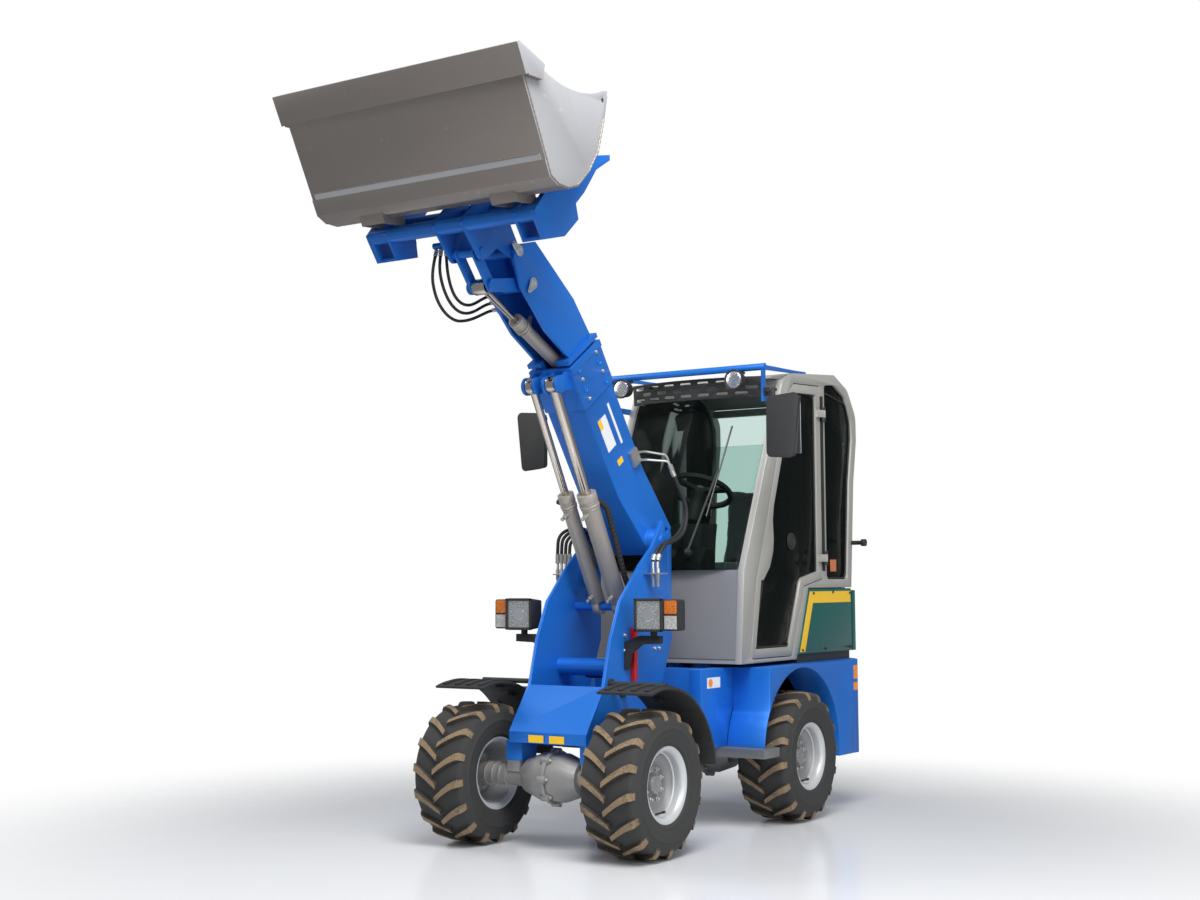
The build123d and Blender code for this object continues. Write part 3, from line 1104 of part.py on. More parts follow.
# index of a corner and its radius
CAB_CORNERS = {2: 60, 3: 60, 5: 110, 6: 110, 7: 60}
DOOR_CORNERS = {0: 30, 1: 30, 5: 20, 6: 60, 7: 60}
QUARTER_CORNERS = {0: 25, 1: 25, 3: 50, 4: 60, 5: 60, 7: 25}
# the door's front stile widens round its lock
LOCK_PANEL = [(1150, 1232), (1190, 1232), (1262, 1300), (1300, 1380), (1308, 1450),
              (1300, 1540), (1315, 1620), (1285, 1620)]
LOCK_CORNER = 9
with BuildPart() as cab_frame:
    for x in (CAB_HALF - CAB_WALL, -CAB_HALF):
        with BuildSketch(side_plane(x)):
            add(rounded(CAB_SIDE, CAB_CORNERS))
            offset(rounded(DOOR_SIDE, DOOR_CORNERS), amount=DOOR_GAP, mode=Mode.SUBTRACT)
            add(rounded(QUARTER_SIDE, QUARTER_CORNERS), mode=Mode.SUBTRACT)
        extrude(amount=CAB_WALL)
    # headers and the rear sill between the two walls
    span = CAB_HALF - CAB_WALL
    for low, high in (((1440, 2232), (1500, 2290)), ((2250, 2200), (2290, 2240)),
                      ((2190, SILL_HEIGHT), (2240, SILL_HEIGHT + 40)),
                      ((950, CAB_LOW), (1010, CAB_LOW + 20))):
        side_plate([low, (high[0], low[1]), high, (low[0], high[1])], -span, 2 * span)
    # lugs that carry the hatch
    for x in (HATCH_LUG_X, -HATCH_LUG_X - HATCH_LUG):
        side_plate([(2200, SILL_HEIGHT + 1), (2200, SILL_HEIGHT + 30), (2240, SILL_HEIGHT + 30),
                    (HATCH_HINGE[0] + 8, HATCH_HINGE[1] + 14),
                    (HATCH_HINGE[0] - 8, HATCH_HINGE[1] - 14), (2241, SILL_HEIGHT + 1)],
                   x, HATCH_LUG)
        cross_bar(HATCH_HINGE, HATCH_LUG_RADIUS, x, x + HATCH_LUG)
        cross_bar(HATCH_HINGE, HATCH_PIN_RADIUS + PIN_FIT, x, x + HATCH_LUG,
                  mode=Mode.SUBTRACT)
cab_frame.part.label = "cab_frame"
export_step(cab_frame.part, "parts/cab_frame.step")

with BuildPart() as cab_front_panel:
    side_plate([(946, CAB_LOW + 20.5), (989, 1284), (1010, 1284), (972, CAB_LOW + 20.5)],
               -span + SEAT, 2 * (span - SEAT))
cab_front_panel.part.label = "cab_front_panel"
export_step(cab_front_panel.part, "parts/cab_front_panel.step")

with BuildPart() as cab_floor:
    # floor, wall behind the feet, engine box top
    side_plate([(1011, CAB_LOW), (1560, CAB_LOW), (1560, CAB_LOW + CAB_FLOOR_SHEET),
                (1011, CAB_LOW + CAB_FLOOR_SHEET)], -span + SEAT, 2 * (span - SEAT))
    side_plate([(1530, CAB_LOW + 20), (1560, CAB_LOW + 20), (1560, SILL_HEIGHT - 1),
                (1530, SILL_HEIGHT - 1)], -span + SEAT, 2 * (span - SEAT))
    side_plate([(1530, SILL_HEIGHT - 30), (2189, SILL_HEIGHT - 30),
                (2189, SILL_HEIGHT), (1530, SILL_HEIGHT)], -span + SEAT, 2 * (span - SEAT))
cab_floor.part.label = "cab_floor"
export_step(cab_floor.part, "parts/cab_floor.step")

ROOF_SIDE = [(1380, 2299), (1533, 2331), (2062, 2374), (2234, 2304), (2248, 2241),
             (2050, 2330), (1533, 2297), (1380, ROOF_EDGE_LOW)]
with BuildPart() as cab_roof:
    side_plate(ROOF_SIDE, -span + SEAT, 2 * (span - SEAT))
cab_roof.part.label = "cab_roof"
export_step(cab_roof.part, "parts/cab_roof.step")

# ---------------------------------------------------------------- glass
PANE_X = CAB_HALF - CAB_WALL / 2 - GLASS / 2
with BuildPart() as cab_glass:
    # fixed pane of the right side and the two quarter panes
    with BuildSketch(side_plane(-PANE_X - GLASS)):
        offset(rounded(DOOR_SIDE, DOOR_CORNERS), amount=DOOR_GAP - SEAT)
    extrude(amount=GLASS)
    for x in (PANE_X, -PANE_X - GLASS):
        with BuildSketch(side_plane(x)):
            offset(rounded(QUARTER_SIDE, QUARTER_CORNERS), amount=-SEAT)
        extrude(amount=GLASS)
    # windscreen, bowed forward, leaning back
    with BuildSketch(top_plane(1284.5)):
        with BuildLine():
            edge_x = span - SEAT
            ThreePointArc((-edge_x, 1006), (0, 1006 - SCREEN_BOW), (edge_x, 1006))
            Line((edge_x, 1006), (edge_x, 1006 + GLASS))
            ThreePointArc((edge_x, 1006 + GLASS), (0, 1006 - SCREEN_BOW + GLASS),
                          (-edge_x, 1006 + GLASS))
            Line((-edge_x, 1006 + GLASS), (-edge_x, 1006))
        make_face()
    extrude(amount=1006, dir=(0, 428, 947))
    # rear pane
    side_plate([(2228, SILL_HEIGHT + 42), (2236, SILL_HEIGHT + 42), (2282, 2028),
                (2276, 2028)], -span + SEAT, 2 * (span - SEAT))
cab_glass.part.label = "cab_glass"
export_step(cab_glass.part, "parts/cab_glass.step")

# ---------------------------------------------------------------- door
with BuildPart() as door_frame:
    x = CAB_HALF - CAB_WALL
    with BuildSketch(side_plane(x)):
        add(rounded(DOOR_SIDE, DOOR_CORNERS))
        offset(rounded(DOOR_SIDE, DOOR_CORNERS), amount=-DOOR_RIM, mode=Mode.SUBTRACT)
        add(flat_outline(LOCK_PANEL, LOCK_CORNER))
    extrude(amount=CAB_WALL)
    # hinge leaves reach out to the hinge line
    for height in DOOR_HINGE_HEIGHTS:
        with BuildSketch(top_plane(height)):
            with Locations((DOOR_HINGE[0], DOOR_HINGE[1])):
                Circle(DOOR_HINGE_RADIUS + 5)
            with BuildLine():
                Polyline((CAB_HALF, DOOR_HINGE[1] - 60), (CAB_HALF + 12, DOOR_HINGE[1] - 60),
                         (DOOR_HINGE[0] + 10, DOOR_HINGE[1] - 10),
                         (DOOR_HINGE[0] - 5, DOOR_HINGE[1] - 10), (CAB_HALF, DOOR_HINGE[1] - 20),
                         close=True)
            make_face()
            with Locations((DOOR_HINGE[0], DOOR_HINGE[1])):
                Circle(DOOR_HINGE_RADIUS + PIN_FIT, mode=Mode.SUBTRACT)
        extrude(amount=40)
door_frame.part.label = "door_frame"
export_step(door_frame.part, "parts/door_frame.step")

with BuildPart() as door_glass:
    with BuildSketch(side_plane(PANE_X)):
        offset(rounded(DOOR_SIDE, DOOR_CORNERS), amount=-DOOR_RIM - SEAT)
        offset(flat_outline(LOCK_PANEL, LOCK_CORNER), amount=SEAT, mode=Mode.SUBTRACT)
    extrude(amount=GLASS)
door_glass.part.label = "door_glass"
export_step(door_glass.part, "parts/door_glass.step")

with BuildPart() as door_hinges:
    for height in DOOR_HINGE_HEIGHTS:
        with BuildSketch(top_plane(height - 20)):
            with Locations((DOOR_HINGE[0], DOOR_HINGE[1])):
                Circle(DOOR_HINGE_RADIUS)
        extrude(amount=80)
        for low in (height - 20, height + 42):
            with BuildSketch(top_plane(low)):
                with Locations((DOOR_HINGE[0], DOOR_HINGE[1])):
                    Circle(DOOR_HINGE_RADIUS + 5)
                with Locations(((CAB_HALF + SEAT + DOOR_HINGE[0]) / 2, DOOR_HINGE[1] + 12)):
                    Rectangle(DOOR_HINGE[0] - CAB_HALF - SEAT, 30)
            extrude(amount=18)
    # rubber-tipped catch that holds the open door
    with BuildSketch(Plane(origin=(CAB_HALF + SEAT, FRONT_AXLE_Y + 2262, 1440), z_dir=(1, 0, 0))):
        Circle(12)
    extrude(amount=70)
    with BuildSketch(Plane(origin=(CAB_HALF + 60, FRONT_AXLE_Y + 2262, 1440), z_dir=(1, 0, 0))):
        Circle(20)
    extrude(amount=24)
door_hinges.part.label = "door_hinges"
export_step(door_hinges.part, "parts/door_hinges.step")

# ---------------------------------------------------------------- on the cab
with BuildPart() as sun_visor:
    with BuildSketch(top_plane(VISOR_LOW)):
        with BuildLine():
            Polyline(*VISOR_FOLDS)
        trace(line_width=4)
    extrude(amount=VISOR_TALL, dir=(0, -10, VISOR_TALL))
    # rows of slots, every other row shifted by half a pitch
    with BuildSketch(front_plane(1180)):
        for row in range(VISOR_ROWS):
            shift = VISOR_PITCH / 4 if row % 2 else -VISOR_PITCH / 4
            for column in range(-3, 4):
                with Locations((column * VISOR_PITCH + shift, VISOR_LOW + 24 + row * 31)):
                    SlotOverall(VISOR_SLOT, 17)
    extrude(amount=-200, mode=Mode.SUBTRACT)
    # brackets under the front edge of the roof
    for x in (-300, 300):
        with BuildSketch(top_plane(ROOF_EDGE_LOW - SEAT - 8)):
            with Locations((x, 1350)):
                Rectangle(30, 140)
        extrude(amount=8)
sun_visor.part.label = "sun_visor"
export_step(sun_visor.part, "parts/sun_visor.step")

# the bar stands level with the front edge of the roof
BAR_STATION, BAR_HEIGHT, BAR_RADIUS = 1203, CAB_SIDE[3][1], 18
roof_rise = (CAB_SIDE[4][1] - CAB_SIDE[3][1]) / (CAB_SIDE[4][0] - CAB_SIDE[3][0])


def roof_seat(station):
    """Height just over the top edge of the cab's side wall."""
    return CAB_SIDE[3][1] + (station - CAB_SIDE[3][0]) * roof_rise + SEAT


with BuildPart() as lamp_bar:
    cross_bar((BAR_STATION, BAR_HEIGHT), BAR_RADIUS, -CAB_HALF - 18, CAB_HALF + 18)
    for side in (1, -1):
        # plate back to the roof's edge
        x = CAB_HALF - CAB_WALL / 2 if side > 0 else -CAB_HALF + CAB_WALL / 2 - BAR_PLATE
        side_plate([(BAR_STATION, BAR_HEIGHT - 12), (BAR_STATION, BAR_HEIGHT + 14),
                    (1580, roof_seat(1580) + 16), (1720, roof_seat(1720) + 10),
                    (1720, roof_seat(1720)), (1580, roof_seat(1580)), (1500, BAR_HEIGHT + 1)],
                   x, BAR_PLATE)
        # strap down beside the corner pillar
        x = CAB_HALF + SEAT if side > 0 else -CAB_HALF - SEAT - BAR_PLATE
        side_plate([(BAR_STATION - 15, STRAP_LOW), (BAR_STATION + 15, STRAP_LOW + 30),
                    (BAR_STATION + 15, BAR_HEIGHT), (BAR_STATION - 15, BAR_HEIGHT)],
                   x, BAR_PLATE)
        side_plate([(BAR_STATION - 15, STRAP_LOW), (1440, STRAP_LOW),
                    (1440, STRAP_LOW + 30), (BAR_STATION - 15, STRAP_LOW + 30)], x, BAR_PLATE)
lamp_bar.part.label = "lamp_bar"
export_step(lamp_bar.part, "parts/lamp_bar.step")

with BuildPart() as work_lamps:
    for side in (1, -1):
        with BuildSketch(front_plane(1110)):
            with Locations((side * WORK_LAMP_X, 2262)):
                Circle(WORK_LAMP_RADIUS)
        extrude(amount=-60, taper=10)
        # bracket up to the bar
        bar_low = BAR_HEIGHT - BAR_RADIUS - SEAT
        side_plate([(1145, 2262), (1168, 2262), (1172, 2292), (1215, bar_low - 12),
                    (1215, bar_low), (1190, bar_low), (1150, 2300)],
                   side * WORK_LAMP_X - 10, 20)
work_lamps.part.label = "work_lamps"
export_step(work_lamps.part, "parts/work_lamps.step")

ARM_START = (CAB_HALF + BAR_PLATE + 2 * SEAT, 1203, 2200)
ARM_END = (MIRROR_X - 60, 866, MIRROR_HIGH + 20)
with BuildPart() as mirrors:
    for side in (1, -1):
        # head, narrower at its foot
        with BuildSketch(front_plane(845)) as head:
            with BuildLine():
                half = MIRROR_WIDTH / 2
                Polyline((side * (MIRROR_X - half), MIRROR_HIGH - 14),
                         (side * (MIRROR_X + half), MIRROR_HIGH),
                         (side * (MIRROR_X + half - 34), MIRROR_LOW),
                         (side * (MIRROR_X - half), MIRROR_LOW + 12), close=True)
            make_face()
            fillet(head.vertices(), 28)
        extrude(amount=-45, taper=12)
        # arm from the strap and the stem into the head
        reach = (side * (ARM_END[0] - ARM_START[0]), ARM_END[1] - ARM_START[1],
                 ARM_END[2] - ARM_START[2])
        length = sqrt(reach[0] ** 2 + reach[1] ** 2 + reach[2] ** 2)
        with BuildSketch(Plane(origin=(side * (ARM_START[0] + MIRROR_TUBE + 4),
                                       FRONT_AXLE_Y + ARM_START[1], ARM_START[2]),
                               z_dir=reach)):
            Circle(MIRROR_TUBE)
        extrude(amount=length)
        with BuildSketch(top_plane(MIRROR_HIGH - 40)):
            with Locations((side * ARM_END[0], ARM_END[1])):
                Circle(MIRROR_TUBE + 2)
        extrude(amount=72)
        # clamp on the strap
        with BuildSketch(Plane(origin=(side * ARM_START[0], FRONT_AXLE_Y + ARM_START[1],
                                       ARM_START[2]), z_dir=(side, 0, 0))):
            Rectangle(40, 28)
        extrude(amount=2 * MIRROR_TUBE + 6)
mirrors.part.label = "mirrors"
export_step(mirrors.part, "parts/mirrors.step")

with BuildPart() as steps:
    for side in (1, -1):
        with BuildSketch(top_plane(TANK_LOW - SEAT - 45)):
            with Locations((side * (TANK_OUTER + STEP_OUTER) / 2 - side * 40, STEP_STATION)):
                Rectangle(STEP_OUTER - TANK_OUTER + 80, STEP_LENGTH)
        extrude(amount=45)
steps.part.label = "steps"
export_step(steps.part, "parts/steps.step")

# ---------------------------------------------------------------- in the cab
FLOOR_TOP = CAB_LOW + CAB_FLOOR_SHEET
with BuildPart() as seat:
    with BuildSketch(top_plane(SILL_HEIGHT + SEAT)):
        with Locations((0, 1770)):
            RectangleRounded(460, 440, 50)
    extrude(amount=110)
    side_plate([(1930, SILL_HEIGHT + 80), (2010, SILL_HEIGHT + 80), (2080, 1750),
                (2020, 1760)], -220, 440)
seat.part.label = "seat"
export_step(seat.part, "parts/seat.step")

with BuildPart() as steering_column:
    with BuildSketch(Plane(origin=(0, FRONT_AXLE_Y + 1130, FLOOR_TOP + SEAT),
                           z_dir=(0, 0, 1))) as foot:
        Rectangle(200, 160)
    extrude(amount=700, dir=(0, 150, 700), taper=0)
    wheel_plane = Plane(origin=(0, FRONT_AXLE_Y + 1340, 1700), x_dir=(1, 0, 0),
                        z_dir=(0, 0.45, 0.893))
    with BuildSketch(wheel_plane):
        Circle(40)
    extrude(amount=-180)
    with BuildSketch(wheel_plane):
        Circle(180)
        Circle(155, mode=Mode.SUBTRACT)
        for turn in (0, 120, 240):
            with Locations(Location((0, 0, 0), (0, 0, turn))):
                Rectangle(170, 30, align=(Align.MIN, Align.CENTER))
    extrude(amount=24)
steering_column.part.label = "steering_column"
export_step(steering_column.part, "parts/steering_column.step")

with BuildPart() as console:
    side_plate([(1300, FLOOR_TOP + SEAT), (1529, FLOOR_TOP + SEAT), (1529, 1400),
                (1380, 1430), (1300, 1250)], -400, 130)
console.part.label = "console"
export_step(console.part, "parts/console.step")

# ---------------------------------------------------------------- hoses
PIPE_RADIUS = 6
BOOM_HOSE, HITCH_HOSE = 9, 7          # radius of each kind of hose
HOSE_SHARE = 0.45                     # share of the shorter run that a bend takes


def hose_bends(points):
    """Radius of each bend of a hose, as large as its two runs allow."""
    bends = []
    for before, corner, after in zip(points, points[1:], points[2:]):
        run_in = Vector(*corner) - Vector(*before)
        run_out = Vector(*after) - Vector(*corner)
        half_turn = radians(run_in.get_angle(run_out)) / 2
        bends.append(HOSE_SHARE * min(run_in.length, run_out.length) / tan(half_turn))
    return bends


def in_frame(points):
    """Points given as across, station, height, in the machine's frame."""
    return [(x, FRONT_AXLE_Y + station, height) for x, station, height in points]


def pipe(points, radius, bend):
    """A rigid pipe with equal bends."""
    with BuildLine() as route:
        FilletPolyline(*in_frame(points), radius=bend)
    with BuildSketch(Plane(origin=route.line @ 0, z_dir=route.line % 0)) as section:
        Circle(radius)
    sweep(section.sketch, path=route.line)


# steel pipes that leave the top of the boom, with their clamp
with BuildPart() as boom_pipes:
    pipe([(121, *on_boom(410, 160)), (128, 590, 1868), (196, 674, 1853), PIPE_END_A],
         PIPE_RADIUS, 22)
    pipe([(121, *on_boom(375, 150)), (140, 580, 1826), (219, 655, 1819), PIPE_END_B],
         PIPE_RADIUS, 22)
    side_plate([on_boom(350, 120), on_boom(430, 120), on_boom(430, 185), on_boom(350, 185)],
               BOOM_HALF + SEAT, 20)
boom_pipes.part.label = "boom_pipes"
export_step(boom_pipes.part, "parts/boom_pipes.step")

# a hose that meets its seat at a slant ends this far off it, so that only its rim reaches it
SLANT = 4.3
coupling_top = COUPLING_HEIGHT + COUPLING_TOP + SLANT + SEAT
bar_low_face = HOSE_BAR[1] - HOSE_BAR_RADIUS - SEAT
block_face = HOSE_SEAT - SEAT
# name, radius, points as across, station, height
HOSES = (
    ("boom_hose_1", BOOM_HOSE,
     [(206, 694.2, 1805.6), (226, 734, 1712), (240, 778, 1616), (244, 768, 1534), (247, 710, 1462),
      (250, 600, 1420), (252, 492, 1392), (252, COUPLING_STATION, coupling_top)]),
    ("boom_hose_2", BOOM_HOSE,
     [(230, 672.2, 1775.6), (252, 706, 1690), (266, 748, 1606), (270, 746, 1526), (273, 700, 1456),
      (276, 600, 1420), (278, 497, 1403.4), (278, COUPLING_STATION, coupling_top)]),
    ("hitch_hose_1", HITCH_HOSE,
     [(-184, -655, bar_low_face - 2.4), (-188, -690, 2604), (-189, -662, 2498), (-190, -598, 2432),
      (-190, -520, 2404), (-190, -450, 2412), (-186, -385, 2432), (-174, -333, 2458),
      (-152, -300, 2478), (block_face, -300, 2478)]),
    ("hitch_hose_2", HITCH_HOSE,
     [(-158, -655, bar_low_face - 1), (-161, -668, 2636), (-163, -650, 2560), (-167, -598, 2486),
      (-170, -530, 2446), (-172, -462, 2442), (-171, -402, 2460), (-168, -352, 2487),
      (-150, -318, 2508), (block_face, -318, 2508)]),
    ("hitch_hose_3", HITCH_HOSE,
     [(-132, -655, bar_low_face - 1), (-137, -645, 2634), (-143, -618, 2562), (-151, -574, 2508),
      (-159, -516, 2482), (-165, -458, 2480), (-168, -408, 2494), (-164, -366, 2517),
      (-148, -332, 2538), (block_face, -332, 2538)]),
)
for hose_name, hose_radius, hose_points in HOSES:
    bends = hose_bends(hose_points)
    print(hose_name, "bends", [round(bend) for bend in bends])
    with BuildPart() as hose:
        pipe(hose_points, hose_radius, bends)
    hose.part.label = hose_name
    export_step(hose.part, "parts/" + hose_name + ".step")
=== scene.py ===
"""Looks of a compact telescopic wheel loader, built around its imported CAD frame.

Shapes are given in millimetres as (across, station, height): station is measured
rearward from the front axle, height from the floor. Finished pieces are in metres
in the frame's own axes: +Z up, +Y to the rear, +X to the machine's left.
"""

import json
import logging
import math
from dataclasses import dataclass
from enum import Enum

import bmesh
import bpy
from mathutils import Matrix, Vector

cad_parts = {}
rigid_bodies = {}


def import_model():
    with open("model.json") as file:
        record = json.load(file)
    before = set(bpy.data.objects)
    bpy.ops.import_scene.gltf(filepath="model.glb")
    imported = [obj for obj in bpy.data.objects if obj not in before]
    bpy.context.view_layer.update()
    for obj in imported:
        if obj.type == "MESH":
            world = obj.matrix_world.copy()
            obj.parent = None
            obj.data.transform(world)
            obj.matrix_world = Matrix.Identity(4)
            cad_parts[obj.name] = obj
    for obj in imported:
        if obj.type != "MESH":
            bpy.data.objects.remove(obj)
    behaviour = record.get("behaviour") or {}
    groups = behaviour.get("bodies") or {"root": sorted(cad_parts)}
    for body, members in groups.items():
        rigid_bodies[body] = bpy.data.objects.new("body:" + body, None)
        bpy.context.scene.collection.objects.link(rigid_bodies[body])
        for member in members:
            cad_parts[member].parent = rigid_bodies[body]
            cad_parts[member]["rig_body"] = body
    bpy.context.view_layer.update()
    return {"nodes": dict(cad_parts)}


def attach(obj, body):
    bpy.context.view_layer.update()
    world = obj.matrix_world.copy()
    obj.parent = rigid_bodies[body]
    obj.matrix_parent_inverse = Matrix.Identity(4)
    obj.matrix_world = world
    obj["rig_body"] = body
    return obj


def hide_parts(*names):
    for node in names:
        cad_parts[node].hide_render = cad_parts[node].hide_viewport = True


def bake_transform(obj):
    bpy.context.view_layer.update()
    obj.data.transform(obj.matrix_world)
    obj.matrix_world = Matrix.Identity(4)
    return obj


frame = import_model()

LOG = logging.getLogger("loader")
Colour = tuple[float, float, float]
Point = tuple[float, float, float]
Flat = tuple[float, float]

MM = 0.001
FRONT_AXLE_Y = -569.0
WHEELBASE = 1422.0
HALF_TRACK = 465.5
AXLE_HEIGHT = 330.0
STICKER = 0.8                  # thickness of a blank plate that is stuck on
HANDS = (("left", 1), ("right", -1))
TO_FRAME = Matrix.Translation((0, FRONT_AXLE_Y * MM, 0)) @ Matrix.Scale(MM, 4)

BOOM_PIVOT = (600.0, 1427.0)
BOOM_ANGLE = math.radians(55.2)
ALONG = (-math.cos(BOOM_ANGLE), math.sin(BOOM_ANGLE))
OVER = (ALONG[1], -ALONG[0])


def on_boom(x: float, along: float, over: float) -> Point:
    """Point on the parked boom.

    Args:
        x: Distance across the machine.
        along: Distance from the boom's pivot along the boom.
        over: Distance above the pivot's line.

    Returns:
        The point as (across, station, height).
    """
    return (x, BOOM_PIVOT[0] + along * ALONG[0] + over * OVER[0],
            BOOM_PIVOT[1] + along * ALONG[1] + over * OVER[1])


# ------------------------------------------------------------------ shaders
class Value:
    """A shader value: one output socket, with arithmetic as Python operators."""

    def __init__(self, graph: "Graph", socket: bpy.types.NodeSocket) -> None:
        """Wraps a socket of a graph."""
        self.graph = graph
        self.socket = socket

    def _math(self, operation: str, first: "Operand", second: "Operand") -> "Value":
        """One Math node on two operands, each a Value or a number."""
        return self.graph.node("ShaderNodeMath", {"operation": operation}, {0: first, 1: second})

    def __add__(self, other: "Operand") -> "Value":
        return self._math("ADD", self, other)

    def __radd__(self, other: "Operand") -> "Value":
        return self._math("ADD", other, self)

    def __mul__(self, other: "Operand") -> "Value":
        return self._math("MULTIPLY", self, other)

    def __rmul__(self, other: "Operand") -> "Value":
        return self._math("MULTIPLY", other, self)

    def ramp(self, low: float, high: float, to_low: float = 0.0, to_high: float = 1.0) -> "Value":
        """Smooth step of this value.

        Args:
            low: Value where the step starts.
            high: Value where it ends.
            to_low: Result at and below low.
            to_high: Result at and above high.

        Returns:
            The stepped value.
        """
        return self.graph.node(
            "ShaderNodeMapRange", {"interpolation_type": "SMOOTHSTEP"},
            {"Value": self, "From Min": low, "From Max": high, "To Min": to_low, "To Max": to_high})


Operand = Value | float


class Graph:
    """The node tree of one material."""

    def __init__(self, name: str) -> None:
        """Makes an empty material with a principled shader."""
        self.material = bpy.data.materials.new(name)
        self.material.use_nodes = True
        self.tree = self.material.node_tree
        self.tree.nodes.clear()
        self.output = self.tree.nodes.new("ShaderNodeOutputMaterial")
        self.shader = self.tree.nodes.new("ShaderNodeBsdfPrincipled")
        self.surface(self.shader.outputs[0])
        self._place: Value | None = None

    def surface(self, socket: bpy.types.NodeSocket) -> None:
        """Sends a shader socket to the material's surface."""
        self.tree.links.new(socket, self.output.inputs["Surface"])

    def put(self, target: bpy.types.NodeSocket, value: Operand | Colour) -> None:
        """Links a Value, or sets a number or colour, on an input socket."""
        if isinstance(value, Value):
            self.tree.links.new(value.socket, target)
        elif isinstance(value, tuple) and target.type == "RGBA":
            target.default_value = (*value, 1.0)
        else:
            target.default_value = value

    def node(self, kind: str, settings: dict, sockets: dict, output: int | str = 0) -> Value:
        """Makes any node: its type, then its settings, then its sockets.

        Args:
            kind: Blender's name of the node type.
            settings: Properties of the node.
            sockets: Input name or index to a Value, number or colour.
            output: Which output to return.

        Returns:
            The chosen output.
        """
        made = self.tree.nodes.new(kind)
        for key, value in settings.items():
            setattr(made, key, value)
        for key, value in sockets.items():
            self.put(made.inputs[key], value)
        return Value(self, made.outputs[output])

    def place(self, stretch: Point = (1.0, 1.0, 1.0)) -> Value:
        """Position on the object, in metres, stretched along the axes."""
        if self._place is None:
            self._place = self.node("ShaderNodeTexCoord", {}, {}, "Object")
        if stretch == (1.0, 1.0, 1.0):
            return self._place
        return self.node("ShaderNodeVectorMath", {"operation": "MULTIPLY"},
                         {0: self._place, 1: stretch})

    def noise(self, scale: float, detail: float = 3.0,
              stretch: Point = (1.0, 1.0, 1.0)) -> Value:
        """Noise from 0 to 1 over the object."""
        return self.node("ShaderNodeTexNoise", {},
                         {"Vector": self.place(stretch), "Scale": scale, "Detail": detail})

    def height(self) -> Value:
        """Height of the surface point on the object."""
        return self.node("ShaderNodeSeparateXYZ", {}, {0: self.place()}, 2)

    def facing_up(self) -> Value:
        """How far the surface faces up, from -1 to 1."""
        normal = self.node("ShaderNodeNewGeometry", {}, {}, "Normal")
        return self.node("ShaderNodeSeparateXYZ", {}, {0: normal}, 2)

    def mix(self, factor: Operand, first: Value | Colour, second: Value | Colour) -> Value:
        """Colour between two colours."""
        made = self.tree.nodes.new("ShaderNodeMix")
        made.data_type = "RGBA"
        for socket, value in ((made.inputs["Factor"], factor), (made.inputs[6], first),
                              (made.inputs[7], second)):
            self.put(socket, value)
        return Value(self, made.outputs[2])

    def bump(self, height: Value, strength: float, distance: float) -> None:
        """Feeds a bump made of a height to the shader's normal."""
        relief = self.node("ShaderNodeBump", {}, {"Height": height, "Strength": strength,
                                                  "Distance": distance})
        self.put(self.shader.inputs["Normal"], relief)

    def set(self, **values: Operand | Colour) -> None:
        """Sets the shader's own sockets; an underscore stands for a space."""
        for key, value in values.items():
            self.put(self.shader.inputs[key.replace("_", " ")], value)


def scaled(colour: Colour, share: float) -> Colour:
    """A colour made lighter or darker."""
    return tuple(min(1.0, channel * share) for channel in colour)


DUST: Colour = (0.30, 0.24, 0.17)


@dataclass(frozen=True)
class Finish:
    """A solid surface with wandering tone, fine grain, wear and dust.

    Attributes:
        name: Name of the material.
        base: Base colour.
        rough: Roughness.
        metallic: 1 for bare metal.
        coat: Weight of the clear coat.
        blotch: How much the tone wanders.
        scale: Scale of the wandering.
        grain: Strength of the fine relief.
        grain_scale: Scale of the fine relief.
        dust: How much dust lies on it near the floor.
        scratch: Share of lighter rub marks.
        stretch: Stretch of the grain along the axes, as in rolled or drawn metal.
    """

    name: str
    base: Colour
    rough: float = 0.4
    metallic: float = 0.0
    coat: float = 0.0
    blotch: float = 0.25
    scale: float = 5.0
    grain: float = 0.12
    grain_scale: float = 420.0
    dust: float = 0.25
    scratch: float = 0.12
    stretch: Point = (1.0, 1.0, 1.0)

    def build(self) -> bpy.types.Material:
        """Makes the material.

        Returns:
            The material.
        """
        graph = Graph(self.name)
        tone = graph.noise(self.scale, 5.0, self.stretch)
        colour = graph.mix(tone.ramp(0.3, 0.7, 0.0, self.blotch), scaled(self.base, 1.08),
                           scaled(self.base, 0.6))
        rub = graph.noise(self.scale * 9, 8.0, (self.stretch[0] * 3, self.stretch[1],
                                                self.stretch[2]))
        rub_mask = rub.ramp(0.66, 0.74, 0.0, self.scratch)
        colour = graph.mix(rub_mask, colour, scaled(self.base, 1.9))
        rough = tone.ramp(0.2, 0.8, self.rough * 0.82, min(1.0, self.rough * 1.25))
        if self.dust:
            low = graph.height().ramp(0.15, 1.1, 1.0, 0.12)
            flat = graph.facing_up().ramp(0.2, 1.0, 0.35, 1.0)
            patchy = graph.noise(14.0, 6.0).ramp(0.35, 0.75, 0.1, 1.0)
            veil = low * flat * patchy * self.dust
            colour = graph.mix(veil, colour, DUST)
            rough = rough + veil * 0.35
        graph.set(Base_Color=colour, Roughness=rough, Metallic=self.metallic,
                  Coat_Weight=self.coat, Coat_Roughness=0.12)
        grain = graph.noise(self.grain_scale, 2.0, self.stretch)
        swell = graph.noise(self.grain_scale / 22, 3.0, self.stretch)
        graph.bump(grain + swell * 2.5, self.grain, 0.0006)
        return graph.material


